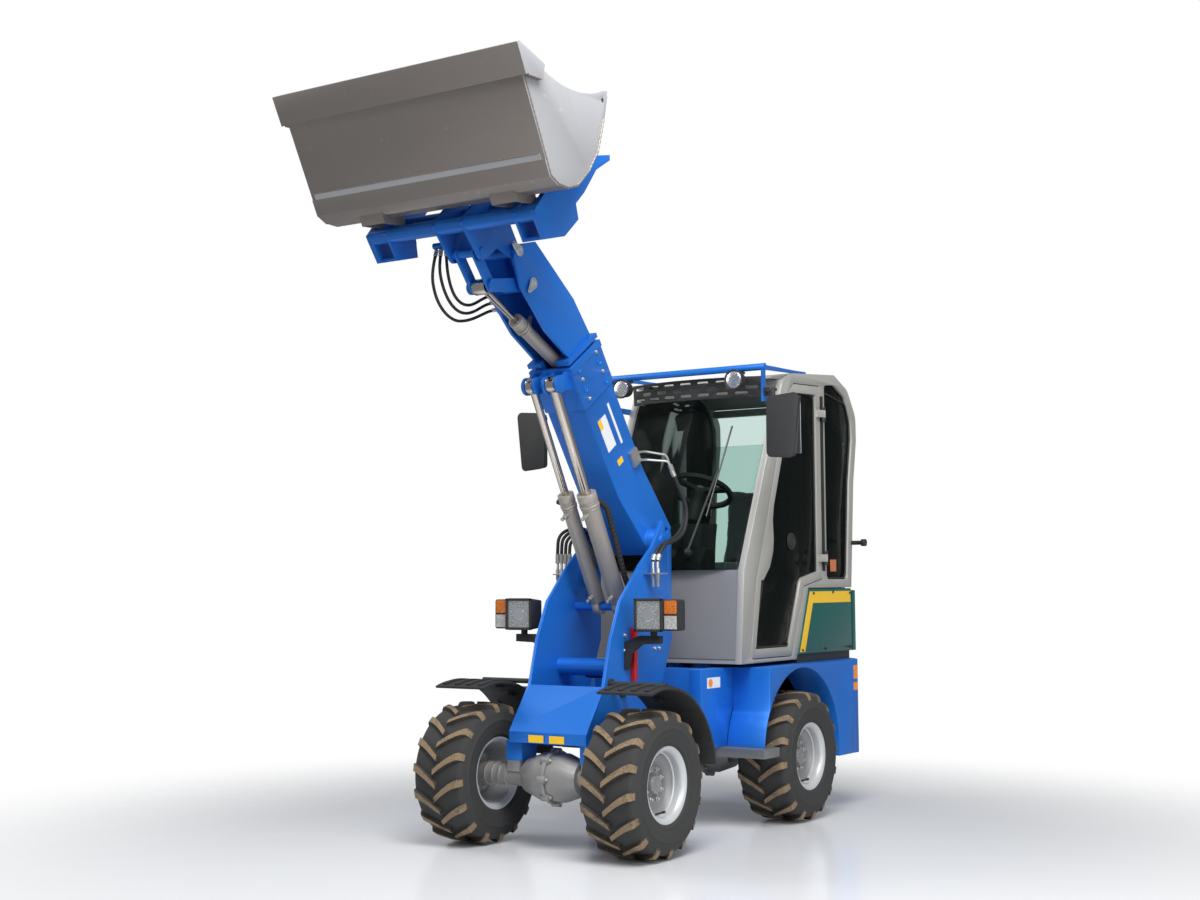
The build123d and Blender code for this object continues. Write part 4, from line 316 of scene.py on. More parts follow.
@dataclass(frozen=True)
class Glass:
    """Thin tinted window glass with a faint film of dust.

    Attributes:
        name: Name of the material.
        tint: Colour that passes through.
    """

    name: str
    tint: Colour

    def build(self) -> bpy.types.Material:
        """Makes the material.

        Returns:
            The material.
        """
        graph = Graph(self.name)
        film = graph.noise(4.0, 6.0).ramp(0.5, 0.85, 0.0, 0.012)
        rough = graph.noise(60.0, 3.0).ramp(0.3, 0.8, 0.0, 0.06)
        graph.set(Base_Color=graph.mix(film * 12.0, scaled(self.tint, 0.03), DUST),
                  Roughness=rough, IOR=1.5)
        clear = graph.tree.nodes.new("ShaderNodeBsdfTransparent")
        clear.inputs[0].default_value = (*self.tint, 1.0)
        gloss = graph.node("ShaderNodeFresnel", {}, {"IOR": 1.5})
        share = gloss.ramp(0.0, 1.0, 0.03, 1.0) + film
        blend = graph.tree.nodes.new("ShaderNodeMixShader")
        graph.put(blend.inputs[0], share)
        graph.tree.links.new(clear.outputs[0], blend.inputs[1])
        graph.tree.links.new(graph.shader.outputs[0], blend.inputs[2])
        graph.surface(blend.outputs[0])
        return graph.material


@dataclass(frozen=True)
class Lens:
    """Moulded lamp lens with a fine pattern of cells in front of a reflector.

    Attributes:
        name: Name of the material.
        tint: Colour of the lens.
        cells: Scale of the pattern.
        metallic: How much it mirrors.
    """

    name: str
    tint: Colour
    cells: float = 120.0
    metallic: float = 0.5

    def build(self) -> bpy.types.Material:
        """Makes the material.

        Returns:
            The material.
        """
        graph = Graph(self.name)
        cell = graph.node("ShaderNodeTexVoronoi", {"feature": "F1"},
                          {"Vector": graph.place(), "Scale": self.cells})
        spot = graph.node("ShaderNodeMath", {"operation": "PINGPONG"}, {0: cell, 1: 0.4})
        colour = graph.mix(spot.ramp(0.0, 0.4, 0.0, 0.8), self.tint, scaled(self.tint, 0.4))
        graph.set(Base_Color=colour, Roughness=spot.ramp(0.0, 0.4, 0.06, 0.22),
                  Metallic=self.metallic, Coat_Weight=1.0, Coat_Roughness=0.04)
        graph.bump(spot, 0.5, 0.002)
        return graph.material


@dataclass(frozen=True)
class LugRubber:
    """Rubber of the tread, rubbed to pale tan on the faces that meet the ground.

    Attributes:
        name: Name of the material.
        base: Colour of the rubber.
        worn: Colour of the rubbed faces.
        share: How much of the face is rubbed.
    """

    name: str
    base: Colour
    worn: Colour
    share: float

    def build(self) -> bpy.types.Material:
        """Makes the material.

        Returns:
            The material.
        """
        graph = Graph(self.name)
        patch = graph.noise(16.0, 7.0)
        fine = graph.noise(130.0, 5.0)
        mask = (patch * 0.7 + fine * 0.45).ramp(0.42, 0.66, 0.25 * self.share, self.share)
        colour = graph.mix(fine.ramp(0.3, 0.7), scaled(self.base, 0.7), scaled(self.base, 1.5))
        colour = graph.mix(mask, colour, graph.mix(patch.ramp(0.3, 0.7), self.worn,
                                                   scaled(self.worn, 0.65)))
        graph.set(Base_Color=colour, Roughness=fine.ramp(0.2, 0.8, 0.62, 0.9))
        graph.bump(fine + patch * 2.0, 0.35, 0.0012)
        return graph.material


@dataclass(frozen=True)
class Woven:
    """Woven seat cloth.

    Attributes:
        name: Name of the material.
        base: Colour of the yarn.
        threads: Threads a metre.
    """

    name: str
    base: Colour
    threads: float = 420.0

    def build(self) -> bpy.types.Material:
        """Makes the material.

        Returns:
            The material.
        """
        graph = Graph(self.name)
        across = graph.node("ShaderNodeTexWave", {"bands_direction": "X"},
                            {"Vector": graph.place(), "Scale": self.threads / 6.28})
        down = graph.node("ShaderNodeTexWave", {"bands_direction": "Z"},
                          {"Vector": graph.place(), "Scale": self.threads / 6.28})
        weave = across * down
        fade = graph.noise(7.0, 5.0)
        colour = graph.mix(weave.ramp(0.1, 0.8), scaled(self.base, 0.6), scaled(self.base, 1.5))
        colour = graph.mix(fade.ramp(0.4, 0.8, 0.0, 0.3), colour, scaled(self.base, 2.2))
        graph.set(Base_Color=colour, Roughness=fade.ramp(0.2, 0.8, 0.75, 0.95),
                  Sheen_Weight=0.3)
        graph.bump(weave, 0.4, 0.0008)
        return graph.material


class Paint(Enum):
    """Every finish of the machine, built once when first asked for."""

    BLUE = Finish("blue_paint", (0.007, 0.108, 0.36), rough=0.32, coat=0.5, dust=0.22)
    CAB = Finish("cab_paint", (0.105, 0.097, 0.088), rough=0.34, metallic=0.4, coat=0.3, dust=0.12)
    PANEL = Finish("panel_paint", (0.115, 0.108, 0.10), rough=0.36, metallic=0.5, coat=0.25,
                   dust=0.22)
    BUCKET = Finish("bucket_steel", (0.27, 0.24, 0.22), rough=0.42, metallic=0.55, blotch=0.22,
                    scale=2.2, scratch=0.2, dust=0.0, stretch=(0.35, 1.0, 1.0))
    # the bucket's own steel drawn paler: a painted highlight for the cheeks, also laid on the heel
    # plate
    BUCKET_SIDE = Finish("bucket_painted_sheen_steel", (0.50, 0.50, 0.52), rough=0.36, metallic=0.5,
                         blotch=0.18, scale=2.6, scratch=0.25, dust=0.0)
    COVER = Finish("cover_paint", (0.008, 0.07, 0.06), rough=0.22, coat=0.8, dust=0.12)
    BLACK = Finish("black_metal", (0.018, 0.018, 0.02), rough=0.42, dust=0.3)
    PLASTIC = Finish("black_plastic", (0.022, 0.022, 0.024), rough=0.55, grain=0.3,
                     grain_scale=260.0, dust=0.35)
    GREY_PLASTIC = Finish("grey_plastic", (0.10, 0.10, 0.105), rough=0.55, grain=0.25,
                          grain_scale=260.0)
    RUBBER = Finish("black_rubber", (0.014, 0.014, 0.015), rough=0.62, grain=0.3,
                    grain_scale=300.0, dust=0.2)
    TYRE = Finish("tyre_rubber", (0.022, 0.021, 0.021), rough=0.72, grain=0.4, grain_scale=180.0,
                  dust=0.35)
    RIM = Finish("rim_paint", (0.52, 0.53, 0.55), rough=0.32, metallic=0.45, coat=0.2, dust=0.3)
    DISC = Finish("disc_paint", (0.26, 0.265, 0.275), rough=0.4, metallic=0.4, dust=0.35)
    CAST = Finish("cast_iron", (0.30, 0.30, 0.30), rough=0.5, metallic=0.5, grain=0.5,
                  grain_scale=160.0, dust=0.4)
    BARREL = Finish("barrel_paint", (0.10, 0.083, 0.07), rough=0.3, metallic=0.35, coat=0.25,
                    dust=0.12)
    CHROME = Finish("chrome", (0.50, 0.455, 0.41), rough=0.13, metallic=1.0, blotch=0.08,
                    grain=0.03, scratch=0.05, dust=0.08)
    ZINC = Finish("zinc", (0.66, 0.65, 0.62), rough=0.28, metallic=1.0, grain=0.1, dust=0.12)
    PIN = Finish("pin_steel", (0.62, 0.63, 0.65), rough=0.3, metallic=0.9, blotch=0.15, dust=0.08)
    RED = Finish("red_paint", (0.55, 0.012, 0.012), rough=0.3, coat=0.5, dust=0.15)
    YELLOW = Finish("yellow_sticker", (0.85, 0.52, 0.01), rough=0.4, coat=0.3, blotch=0.12)
    WHITE = Finish("white_sticker", (0.74, 0.76, 0.78), rough=0.4, coat=0.3, blotch=0.1)
    ORANGE = Finish("orange_sticker", (0.85, 0.26, 0.01), rough=0.4, coat=0.3, blotch=0.12)
    STEP = Finish("step_grating", (0.24, 0.25, 0.26), rough=0.45, metallic=0.7, dust=0.4)
    ENGINE = Finish("engine_iron", (0.06, 0.06, 0.06), rough=0.55, metallic=0.4, grain=0.4)
    MIRROR = Finish("mirror_glass", (0.8, 0.82, 0.84), rough=0.03, metallic=1.0, blotch=0.03,
                    grain=0.01, scratch=0.0, dust=0.03)
    LUG = LugRubber("lug_rubber", (0.024, 0.022, 0.021), (0.36, 0.25, 0.14), 0.88)
    LUG_SIDE = LugRubber("lug_side_rubber", (0.02, 0.019, 0.019), (0.16, 0.12, 0.08), 0.3)
    GLASS = Glass("cab_glass", (0.80, 0.89, 0.865))
    LENS = Lens("clear_lens", (0.86, 0.88, 0.9), 150.0, 0.85)
    AMBER = Lens("amber_lens", (0.9, 0.22, 0.01), 150.0, 0.15)
    WHITE_LENS = Lens("signal_lens", (0.75, 0.74, 0.72), 150.0, 0.3)
    RED_LENS = Lens("red_lens", (0.55, 0.01, 0.01), 150.0, 0.15)
    SEAT = Woven("seat_cloth", (0.03, 0.032, 0.036))

    @property
    def material(self) -> bpy.types.Material:
        """The finish's material, made when first needed."""
        found = bpy.data.materials.get(self.value.name)
        return found or self.value.build()


# ------------------------------------------------------------------ meshes
def basis(direction: Point) -> Matrix:
    """Rotation that turns +Z to a direction."""
    return Vector(direction).to_track_quat("Z", "Y").to_matrix()


class Form:
    """A mesh under construction, in millimetres across, station, height."""

    def __init__(self) -> None:
        """Starts empty; new faces take material slot 0."""
        self.mesh = bmesh.new()
        self.slot = 0

    def face(self, verts: list[bmesh.types.BMVert]) -> None:
        """Adds a face in the current slot."""
        self.mesh.faces.new(verts).material_index = self.slot

    def lathe(self, origin: Point, axis: Point, profile: list[Flat], sides: int = 24,
              closed: bool = False) -> None:
        """Turned body.

        Args:
            origin: Point on the axis where distances start.
            axis: Direction of the axis.
            profile: Rows of (radius, distance along the axis).
            sides: Facets round the axis.
            closed: Whether the profile is a loop; otherwise both ends are capped.
        """
        turn = basis(axis)
        rings = []
        for radius, distance in profile:
            if radius < 0.01:
                tip = Vector(origin) + turn @ Vector((0, 0, distance))
                rings.append([self.mesh.verts.new(tip)])
                continue
            rings.append([self.mesh.verts.new(Vector(origin) + turn @ Vector((
                radius * math.cos(math.tau * k / sides),
                radius * math.sin(math.tau * k / sides), distance)))
                for k in range(sides)])
        for low, high in zip(rings, rings[1:] + rings[:1] if closed else rings[1:]):
            for k in range(sides):
                corners = [low[k % len(low)], low[(k + 1) % len(low)],
                           high[(k + 1) % len(high)], high[k % len(high)]]
                unique = list(dict.fromkeys(corners))
                if len(unique) > 2:
                    self.face(unique)
        if closed:
            return
        if len(rings[0]) > 1:
            self.face(rings[0][::-1])
        if len(rings[-1]) > 1:
            self.face(rings[-1])

    def rod(self, start: Point, end: Point, radius: float, sides: int = 20,
            edge: float = 1.5) -> None:
        """Round bar with broken edges from start to end."""
        reach = Vector(end) - Vector(start)
        edge = min(edge, radius * 0.4, reach.length * 0.3)
        self.lathe(start, reach, [(radius - edge, 0), (radius, edge),
                                  (radius, reach.length - edge),
                                  (radius - edge, reach.length)], sides)

    def prism(self, outline: list[Point], depth: Point) -> None:
        """Flat outline pushed along a vector."""
        low = [self.mesh.verts.new(p) for p in outline]
        high = [self.mesh.verts.new(Vector(p) + Vector(depth)) for p in outline]
        self.face(low[::-1])
        self.face(high)
        for k in range(len(low)):
            n = (k + 1) % len(low)
            self.face([low[k], low[n], high[n], high[k]])

    def block(self, centre: Point, size: Point, turn: Matrix | None = None) -> None:
        """Rectangular block round a centre."""
        turn = turn or Matrix.Identity(3)
        half = Vector(size) / 2
        corners = [Vector(centre) + turn @ Vector((sx * half.x, sy * half.y, -half.z))
                   for sx, sy in ((-1, -1), (1, -1), (1, 1), (-1, 1))]
        self.prism(corners, turn @ Vector((0, 0, size[2])))

    def side_plate(self, points: list[Flat], x: float, thickness: float) -> None:
        """Plate with its outline in the side view, from x on."""
        self.prism([(x, station, height) for station, height in points], (thickness, 0, 0))

    def tube(self, points: list[Vector], radius: float, sides: int = 12,
             swell: list[float] | None = None) -> None:
        """Round tube through close points.

        Args:
            points: The middle line.
            radius: Radius of the tube.
            sides: Facets round it.
            swell: Radius at each point as a share, or nothing.
        """
        line = [Vector(p) for p in points]
        normal = (line[1] - line[0]).orthogonal().normalized()
        rings = []
        for index, point in enumerate(line):
            ahead = line[min(index + 1, len(line) - 1)] - line[max(index - 1, 0)]
            ahead.normalize()
            normal = (normal - ahead * normal.dot(ahead)).normalized()
            other = ahead.cross(normal)
            size = radius * (swell[index] if swell else 1.0)
            rings.append([self.mesh.verts.new(
                point + normal * size * math.cos(math.tau * k / sides)
                + other * size * math.sin(math.tau * k / sides)) for k in range(sides)])
        for low, high in zip(rings, rings[1:]):
            for k in range(sides):
                n = (k + 1) % sides
                self.face([low[k], low[n], high[n], high[k]])
        self.face(rings[0][::-1])
        self.face(rings[-1])

    def bolt(self, seat: Point, axis: Point, size: float = 8.0) -> None:
        """Hexagon bolt head on a washer.

        Args:
            seat: Point on the surface.
            axis: Direction out of the surface.
            size: Thread size; the head is as wide as such a bolt's.
        """
        self.lathe(seat, axis, [(size * 1.05, 0), (size * 1.05, size * 0.2)], 16)
        self.lathe(seat, axis, [(size * 0.95, size * 0.2), (size * 0.95, size * 0.72),
                                (size * 0.8, size * 0.85)], 6)
        self.lathe(seat, axis, [(size * 0.5, size * 0.8), (size * 0.42, size * 1.15)], 12)

    def data(self, name: str) -> bpy.types.Mesh:
        """Turns the form into mesh data in the frame's axes and lets go of it."""
        self.mesh.transform(TO_FRAME)
        data = bpy.data.meshes.new(name)
        self.mesh.to_mesh(data)
        self.mesh.free()
        return data

    def piece(self, name: str, body: str, *paints: Paint, bevel: float = 0.0,
              angle: float = 35.0) -> bpy.types.Object:
        """Closes the form as a named object that rides on a body.

        Args:
            name: Name of the piece.
            body: CAD body it moves with.
            paints: Finishes, one for each material slot.
            bevel: Width of broken edges in millimetres, or 0.
            angle: Edges sharper than this, in degrees, stay crisp.

        Returns:
            The object.
        """
        bmesh.ops.recalc_face_normals(self.mesh, faces=self.mesh.faces)
        return place(self.data(name), name, body, *paints, bevel=bevel, angle=angle)


def place(data: bpy.types.Mesh, name: str, body: str, *paints: Paint, bevel: float = 0.0,
          angle: float = 35.0) -> bpy.types.Object:
    """Makes an object of a mesh in the frame's axes and rides it on a body."""
    piece = bpy.data.objects.new(name, data)
    bpy.context.scene.collection.objects.link(piece)
    for paint in paints:
        data.materials.append(paint.material)
    data.polygons.foreach_set("use_smooth", [True] * len(data.polygons))
    if bevel:
        edge = piece.modifiers.new("edge", "BEVEL")
        edge.width = bevel * MM
        edge.segments = 2
        edge.limit_method = "ANGLE"
        edge.angle_limit = math.radians(angle)
        edge.harden_normals = True
    else:
        data.set_sharp_from_angle(angle=math.radians(angle))
    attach(piece, body)
    LOG.info("%s on %s", name, body)
    return piece


def slab(name: str, body: str, paint: Paint, centre: Point, size: Point, bevel: float,
         turn: Matrix | None = None) -> None:
    """A piece that is one block."""
    form = Form()
    form.block(centre, size, turn)
    form.piece(name, body, paint, bevel=bevel)


def turned(name: str, body: str, paint: Paint, origin: Point, axis: Point,
           profile: list[Flat], sides: int, closed: bool = False) -> None:
    """A piece that is one turned body."""
    form = Form()
    form.lathe(origin, axis, profile, sides, closed)
    form.piece(name, body, paint)


def ring(centre: Point, radius: float, count: int, phase: float = 0.0) -> list[Vector]:
    """Points evenly round a circle that faces the side.

    Args:
        centre: Middle of the circle.
        radius: Its radius.
        count: How many points.
        phase: Share of one step by which the first point is turned.

    Returns:
        The points.
    """
    turns = [math.tau * (k + phase) / count for k in range(count)]
    return [Vector(centre) + Vector((0, radius * math.cos(turn), radius * math.sin(turn)))
            for turn in turns]


def redressed(node: str, *paints: Paint, bevel: float, split: float = 0.02) -> bpy.types.Object:
    """A CAD node again as one welded mesh with broken edges.

    Args:
        node: Name of the CAD node.
        paints: Finishes; the first covers it all.
        bevel: Width of the broken edges in millimetres.
        split: Angle under which neighbouring facets join, in radians.

    Returns:
        The piece that stands for the node.
    """
    source = bmesh.new()
    source.from_mesh(frame["nodes"][node].data)
    bmesh.ops.remove_doubles(source, verts=source.verts, dist=0.00002)
    bmesh.ops.dissolve_limit(source, angle_limit=split, verts=source.verts, edges=source.edges)
    for face in source.faces:
        face.material_index = 0
    data = bpy.data.meshes.new(node + "_shape")
    source.to_mesh(data)
    source.free()
    body = frame["nodes"][node]["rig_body"]
    piece = place(data, node + "_shape", body, *paints, bevel=bevel, angle=32.0)
    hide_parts(node)
    return piece


def redress_all(table: tuple[tuple[str, Paint, float], ...]) -> None:
    """Redresses each node of a table of node, finish and edge width."""
    for node, paint, bevel in table:
        redressed(node, paint, bevel=bevel)


def rounded_line(points: list[Point], radius: float, step: float = 6.0) -> list[Vector]:
    """A line of straight runs with rounded corners, sampled closely.

    Args:
        points: Corners of the line.
        radius: Radius of its bends.
        step: Distance between samples.

    Returns:
        The samples.
    """
    corners = [Vector(p) for p in points]
    line = [corners[0]]
    for before, corner, after in zip(corners, corners[1:], corners[2:]):
        into, out = (before - corner), (after - corner)
        half = into.angle(out) / 2
        cut = min(radius / math.tan(half), into.length * 0.48, out.length * 0.48)
        first, last = corner + into.normalized() * cut, corner + out.normalized() * cut
        count = max(3, int(2 * cut / step))
        for k in range(count + 1):
            t = k / count
            line.append(first * (1 - t) ** 2 + corner * 2 * t * (1 - t) + last * t ** 2)
    line.append(corners[-1])
    dense = [line[0]]
    for start, end in zip(line, line[1:]):
        count = max(1, int((end - start).length / step))
        dense += [start.lerp(end, (k + 1) / count) for k in range(count)]
    return dense


# ------------------------------------------------------------------ hoses
HOSES = {
    "boom_hose_1": (9.0, "boom", "front_frame", [
        (206, 694.2, 1805.6), (226, 734, 1712), (240, 778, 1616), (244, 768, 1534),
        (247, 710, 1462), (250, 600, 1420), (252, 492, 1392), (252, 452, 1326.6)]),
    "boom_hose_2": (9.0, "boom", "front_frame", [
        (230, 672.2, 1775.6), (252, 706, 1690), (266, 748, 1606), (270, 746, 1526),
        (273, 700, 1456), (276, 600, 1420), (278, 497, 1403.4), (278, 452, 1326.6)]),
    "hitch_hose_1": (7.0, "bucket_group", "telescope", [
        (-184, -655, 2705.3), (-188, -690, 2604), (-189, -662, 2498), (-190, -598, 2432),
        (-190, -520, 2404), (-190, -450, 2412), (-186, -385, 2432), (-174, -333, 2458),
        (-152, -300, 2478), (-112.3, -300, 2478)]),
    "hitch_hose_2": (7.0, "bucket_group", "telescope", [
        (-158, -655, 2706.7), (-161, -668, 2636), (-163, -650, 2560), (-167, -598, 2486),
        (-170, -530, 2446), (-172, -462, 2442), (-171, -402, 2460), (-168, -352, 2487),
        (-150, -318, 2508), (-112.3, -318, 2508)]),
    "hitch_hose_3": (7.0, "bucket_group", "telescope", [
        (-132, -655, 2706.7), (-137, -645, 2634), (-143, -618, 2562), (-151, -574, 2508),
        (-159, -516, 2482), (-165, -458, 2480), (-168, -408, 2494), (-164, -366, 2517),
        (-148, -332, 2538), (-112.3, -332, 2538)]),
}


def nurbs_line(points: list[Point], fineness: int = 14) -> list[Vector]:
    """Points, in millimetres, along an open curve of degree two.

    Args:
        points: Control points.
        fineness: Samples between two control points.

    Returns:
        The samples.
    """
    data = bpy.data.curves.new("route", "CURVE")
    data.dimensions, data.resolution_u = "3D", fineness
    spline = data.splines.new("NURBS")
    spline.points.add(len(points) - 1)
    for target, point in zip(spline.points, points):
        target.co = (*point, 1.0)
    spline.order_u = 3
    spline.use_endpoint_u = True
    line = bpy.data.objects.new("route", data)
    bpy.context.scene.collection.objects.link(line)
    mesh = bpy.data.meshes.new_from_object(line)
    samples = [vertex.co.copy() for vertex in mesh.vertices]
    bpy.data.objects.remove(line)
    bpy.data.meshes.remove(mesh)
    return samples


@dataclass
class Hoses:
    """The free hydraulic hoses that cross a joint."""

    ferrule: float = 1.35
    ferrule_length: float = 34.0

    def build(self) -> None:
        """Makes each hose as a tube along its curved route from one body to the other; the tube
        rides on neither body.
        """
        for name, (radius, first, last, points) in HOSES.items():
            line = nurbs_line(points)
            form = Form()
            form.tube(line, radius, 14)
            data = form.data(name + "_tube")
            data.materials.append(Paint.RUBBER.material)
            data.polygons.foreach_set("use_smooth", [True] * len(data.polygons))
            hose = bpy.data.objects.new(name + "_tube", data)
            bpy.context.scene.collection.objects.link(hose)
            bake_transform(hose)
            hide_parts(name)

    def dress(self) -> None:
        """Puts a crimped metal ferrule on both ends of each hose."""
        for name, (radius, first, last, points) in HOSES.items():
            line = nurbs_line(points)
            for label, body, run in (("start", first, line), ("end", last, line[::-1])):
                form = Form()
                reach = (run[1] - run[0]).normalized()
                outer = radius * self.ferrule
                form.lathe(run[0], reach, [
                    (outer * 0.8, 0), (outer * 1.05, 2), (outer * 1.05, 9), (outer * 0.85, 11),
                    (outer, 13), (outer, self.ferrule_length * 0.6),
                    (outer * 0.92, self.ferrule_length * 0.62), (outer, self.ferrule_length * 0.7),
                    (outer, self.ferrule_length - 2), (outer * 0.9, self.ferrule_length)], 18)
                form.piece(f"{name}_ferrule_{label}", body, Paint.ZINC)


# ------------------------------------------------------------------ wheels
@dataclass
class Wheel:
    """One wheel: tyre with bent lugs, rim, disc, nuts and hub cap."""

    name: str
    side: int
    station: float
    radius: float = 330.0
    lugs: int = 16
    rise: float = 77.0
    bead: float = 153.7
    edge: float = 131.3
    disc: float = 36.0
    nuts: int = 8
    nut_circle: float = 70.0
    screws: int = 12
    screw_circle: float = 36.0

    def __post_init__(self) -> None:
        """Works out the wheel's centre and axis."""
        self.centre = (self.side * HALF_TRACK, self.station, AXLE_HEIGHT)
        self.axis = (self.side, 0, 0)
        self.body = self.name + "_wheel"

    def build(self) -> None:
        """Makes the tyre and the rim."""
        self.tyre()
        self.rim()

    def tyre(self) -> None:
        """Carcass with ribbed sidewalls, and the lugs."""
        form = Form()
        half = [(155, 118), (160, 127), (172, 130.5), (178, 134), (180, 138), (187, 140.5),
                (192, 140), (206, 144.6), (226, 147.4), (243, 147.6), (246, 149), (250, 149),
                (252, 147), (268, 143.6), (284, 138), (296, 132), (303, 126), (306.5, 117),
                (308, 80), (308.5, 30)]
        form.lathe(self.centre, (1, 0, 0),
                   [(r, -a) for r, a in half] + [(r, a) for r, a in reversed(half)], 96,
                   closed=True)
        for half_side in (1, -1):
            for turn in range(self.lugs):
                self.lug(form, half_side, math.tau * (turn + half_side / 4) / self.lugs)
        tyre = form.piece(f"tyre_{self.name}_tread", self.body, Paint.TYRE, Paint.LUG,
                          Paint.LUG_SIDE, bevel=1.6, angle=40)
        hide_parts("tyre_" + self.name)

    def lug(self, form: Form, half_side: int, start: float) -> None:
        """One bent lug from the middle of the tread over the shoulder."""
        path = [(-8, 330, 302, 31), (22, 330, 302, 32), (52, 329.3, 302, 34), (82, 328, 301, 37),
                (108, 326, 300, 40), (124, 322, 297, 43), (133, 309, 290, 43),
                (141, 286, 276, 41)]
        rows = []
        for offset, top, foot, width in path:
            share = min(1.0, max(-0.1, offset / 126))
            angle = start + self.rise * (1.25 * share - 0.25 * share ** 3) / self.radius
            row = []
            for radius, spread in ((foot, 1.0), (top, 0.86)):
                for sign in (-1, 1):
                    turn = angle + sign * width * spread / 2 / self.radius
                    row.append(form.mesh.verts.new((
                        self.centre[0] + half_side * offset,
                        self.centre[1] + radius * math.sin(turn),
                        self.centre[2] + radius * math.cos(turn))))
            rows.append(row)
        for low, high in zip(rows, rows[1:]):
            form.slot = 1
            form.face([low[2], low[3], high[3], high[2]])
            form.slot = 2
            form.face([low[0], low[2], high[2], high[0]])
            form.face([low[3], low[1], high[1], high[3]])
        for row in (rows[0], rows[-1]):
            form.face([row[0], row[1], row[3], row[2]])
        form.slot = 0

    def rim(self) -> None:
        """Barrel with rolled flanges, dished disc and hub cap."""
        form = Form()
        edge, bead, disc = self.edge, self.bead, self.disc
        loop = [(bead - 9, disc + 44), (bead - 9, edge - 24), (bead - 6, edge - 15),
                (bead + 4, edge - 5), (166, edge - 1), (170, edge), (173, edge - 2),
                (174, edge - 6), (172, edge - 9), (bead + 3, edge - 9), (bead, edge - 14),
                (bead, 14 - edge), (bead + 3, 9 - edge), (172, 9 - edge), (174, 6 - edge),
                (172, 2 - edge), (166, 1 - edge), (bead + 4, 5 - edge), (bead - 9, 20 - edge),
                (bead - 9, disc - 8), (bead - 14, disc), (bead - 14, disc + 40)]
        form.lathe(self.centre, self.axis, loop, 96, closed=True)
        form.slot = 1
        face = disc + 9
        form.lathe(self.centre, self.axis, [
            (0, disc), (bead - 30, disc), (bead - 12, disc + 8), (bead - 9.5, disc + 30),
            (bead - 14, disc + 34), (bead - 28, face + 6), (bead - 40, face + 1),
            (88, face), (80, face + 5), (60, face + 5), (56, face + 2), (0, face + 2)], 96)
        form.lathe(self.centre, self.axis, [
            (50, face), (50, face + 6), (46, face + 8), (43.5, face + 26), (40, face + 30),
            (12, face + 31), (10, face + 29), (0, face + 29)], 48)
        rim = form.piece(f"rim_{self.name}_turned", self.body, Paint.RIM, Paint.DISC,
                         angle=38)
        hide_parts("rim_" + self.name)

    def dress(self) -> None:
        """Wheel nuts, hub bolts and the valve."""
        form = Form()
        centre, out = Vector(self.centre), Vector(self.axis)
        for seat in ring(centre + out * (self.disc + 14), self.nut_circle, self.nuts, 0.5):
            form.lathe(seat, self.axis, [(13, 0), (12, 3), (11, 3.2)], 18)
            form.lathe(seat, self.axis, [(11.5, 3), (11.5, 12), (9.5, 14)], 6)
            form.lathe(seat, self.axis, [(6, 12), (6, 20), (4.5, 22)], 12)
        form.piece(f"wheel_nuts_{self.name}", self.body, Paint.ZINC, bevel=0.6)
        form = Form()
        start = centre + Vector((self.side * (self.disc + 30), 0, -self.bead + 22))
        form.rod(start, start + Vector((self.side * 46, 0, 14)), 4.2, 14)
        form.rod(start + Vector((self.side * 34, 0, 10.5)),
                 start + Vector((self.side * 52, 0, 16)), 6, 14)
        form.piece(f"valve_{self.name}", self.body, Paint.RUBBER)
        form = Form()
        for seat in ring(centre + out * (self.disc + 36), self.screw_circle, self.screws):
            form.rod(seat, seat + out * 5, 3, 10, 0.5)
        form.piece(f"hub_screws_{self.name}", self.body, Paint.ZINC)


def wheels() -> list[Wheel]:
    """The four wheels."""
    return [Wheel(f"{end}_{hand}", side, station)
            for end, station in (("front", 0.0), ("rear", WHEELBASE))
            for hand, side in HANDS]


@dataclass
class Axles:
    """Both axles, cast, with their differential bolts."""

    bolt_circle: float = 118.0
    hub_circle: float = 76.0
    hub_face: float = 441.0

    def build(self) -> None:
        """Gives both axles soft cast edges."""
        for node in ("front_axle", "rear_axle"):
            redressed(node, Paint.CAST, bevel=3.0, split=0.05)

    def dress(self) -> None:
        """Bolts round the differentials and ribs on the tubes."""
        for end, station in (("front", 0.0), ("rear", WHEELBASE)):
            form = Form()
            for seat in ring((22, station, AXLE_HEIGHT), self.bolt_circle, 8):
                form.bolt(seat, (1, 0, 0), 9)
            for side in (1, -1):
                for seat in ring((side * self.hub_face, station, AXLE_HEIGHT),
                                 self.hub_circle, 10):
                    form.bolt(seat, (-side, 0, 0), 7)
                for offset in (260, 300, 340, 380):
                    form.lathe((side * offset, station, AXLE_HEIGHT), (1, 0, 0),
                               [(50, -5), (58, -3), (58, 3), (50, 5)], 40)
            form.piece(f"{end}_axle_bolts", end + "_frame", Paint.ZINC)


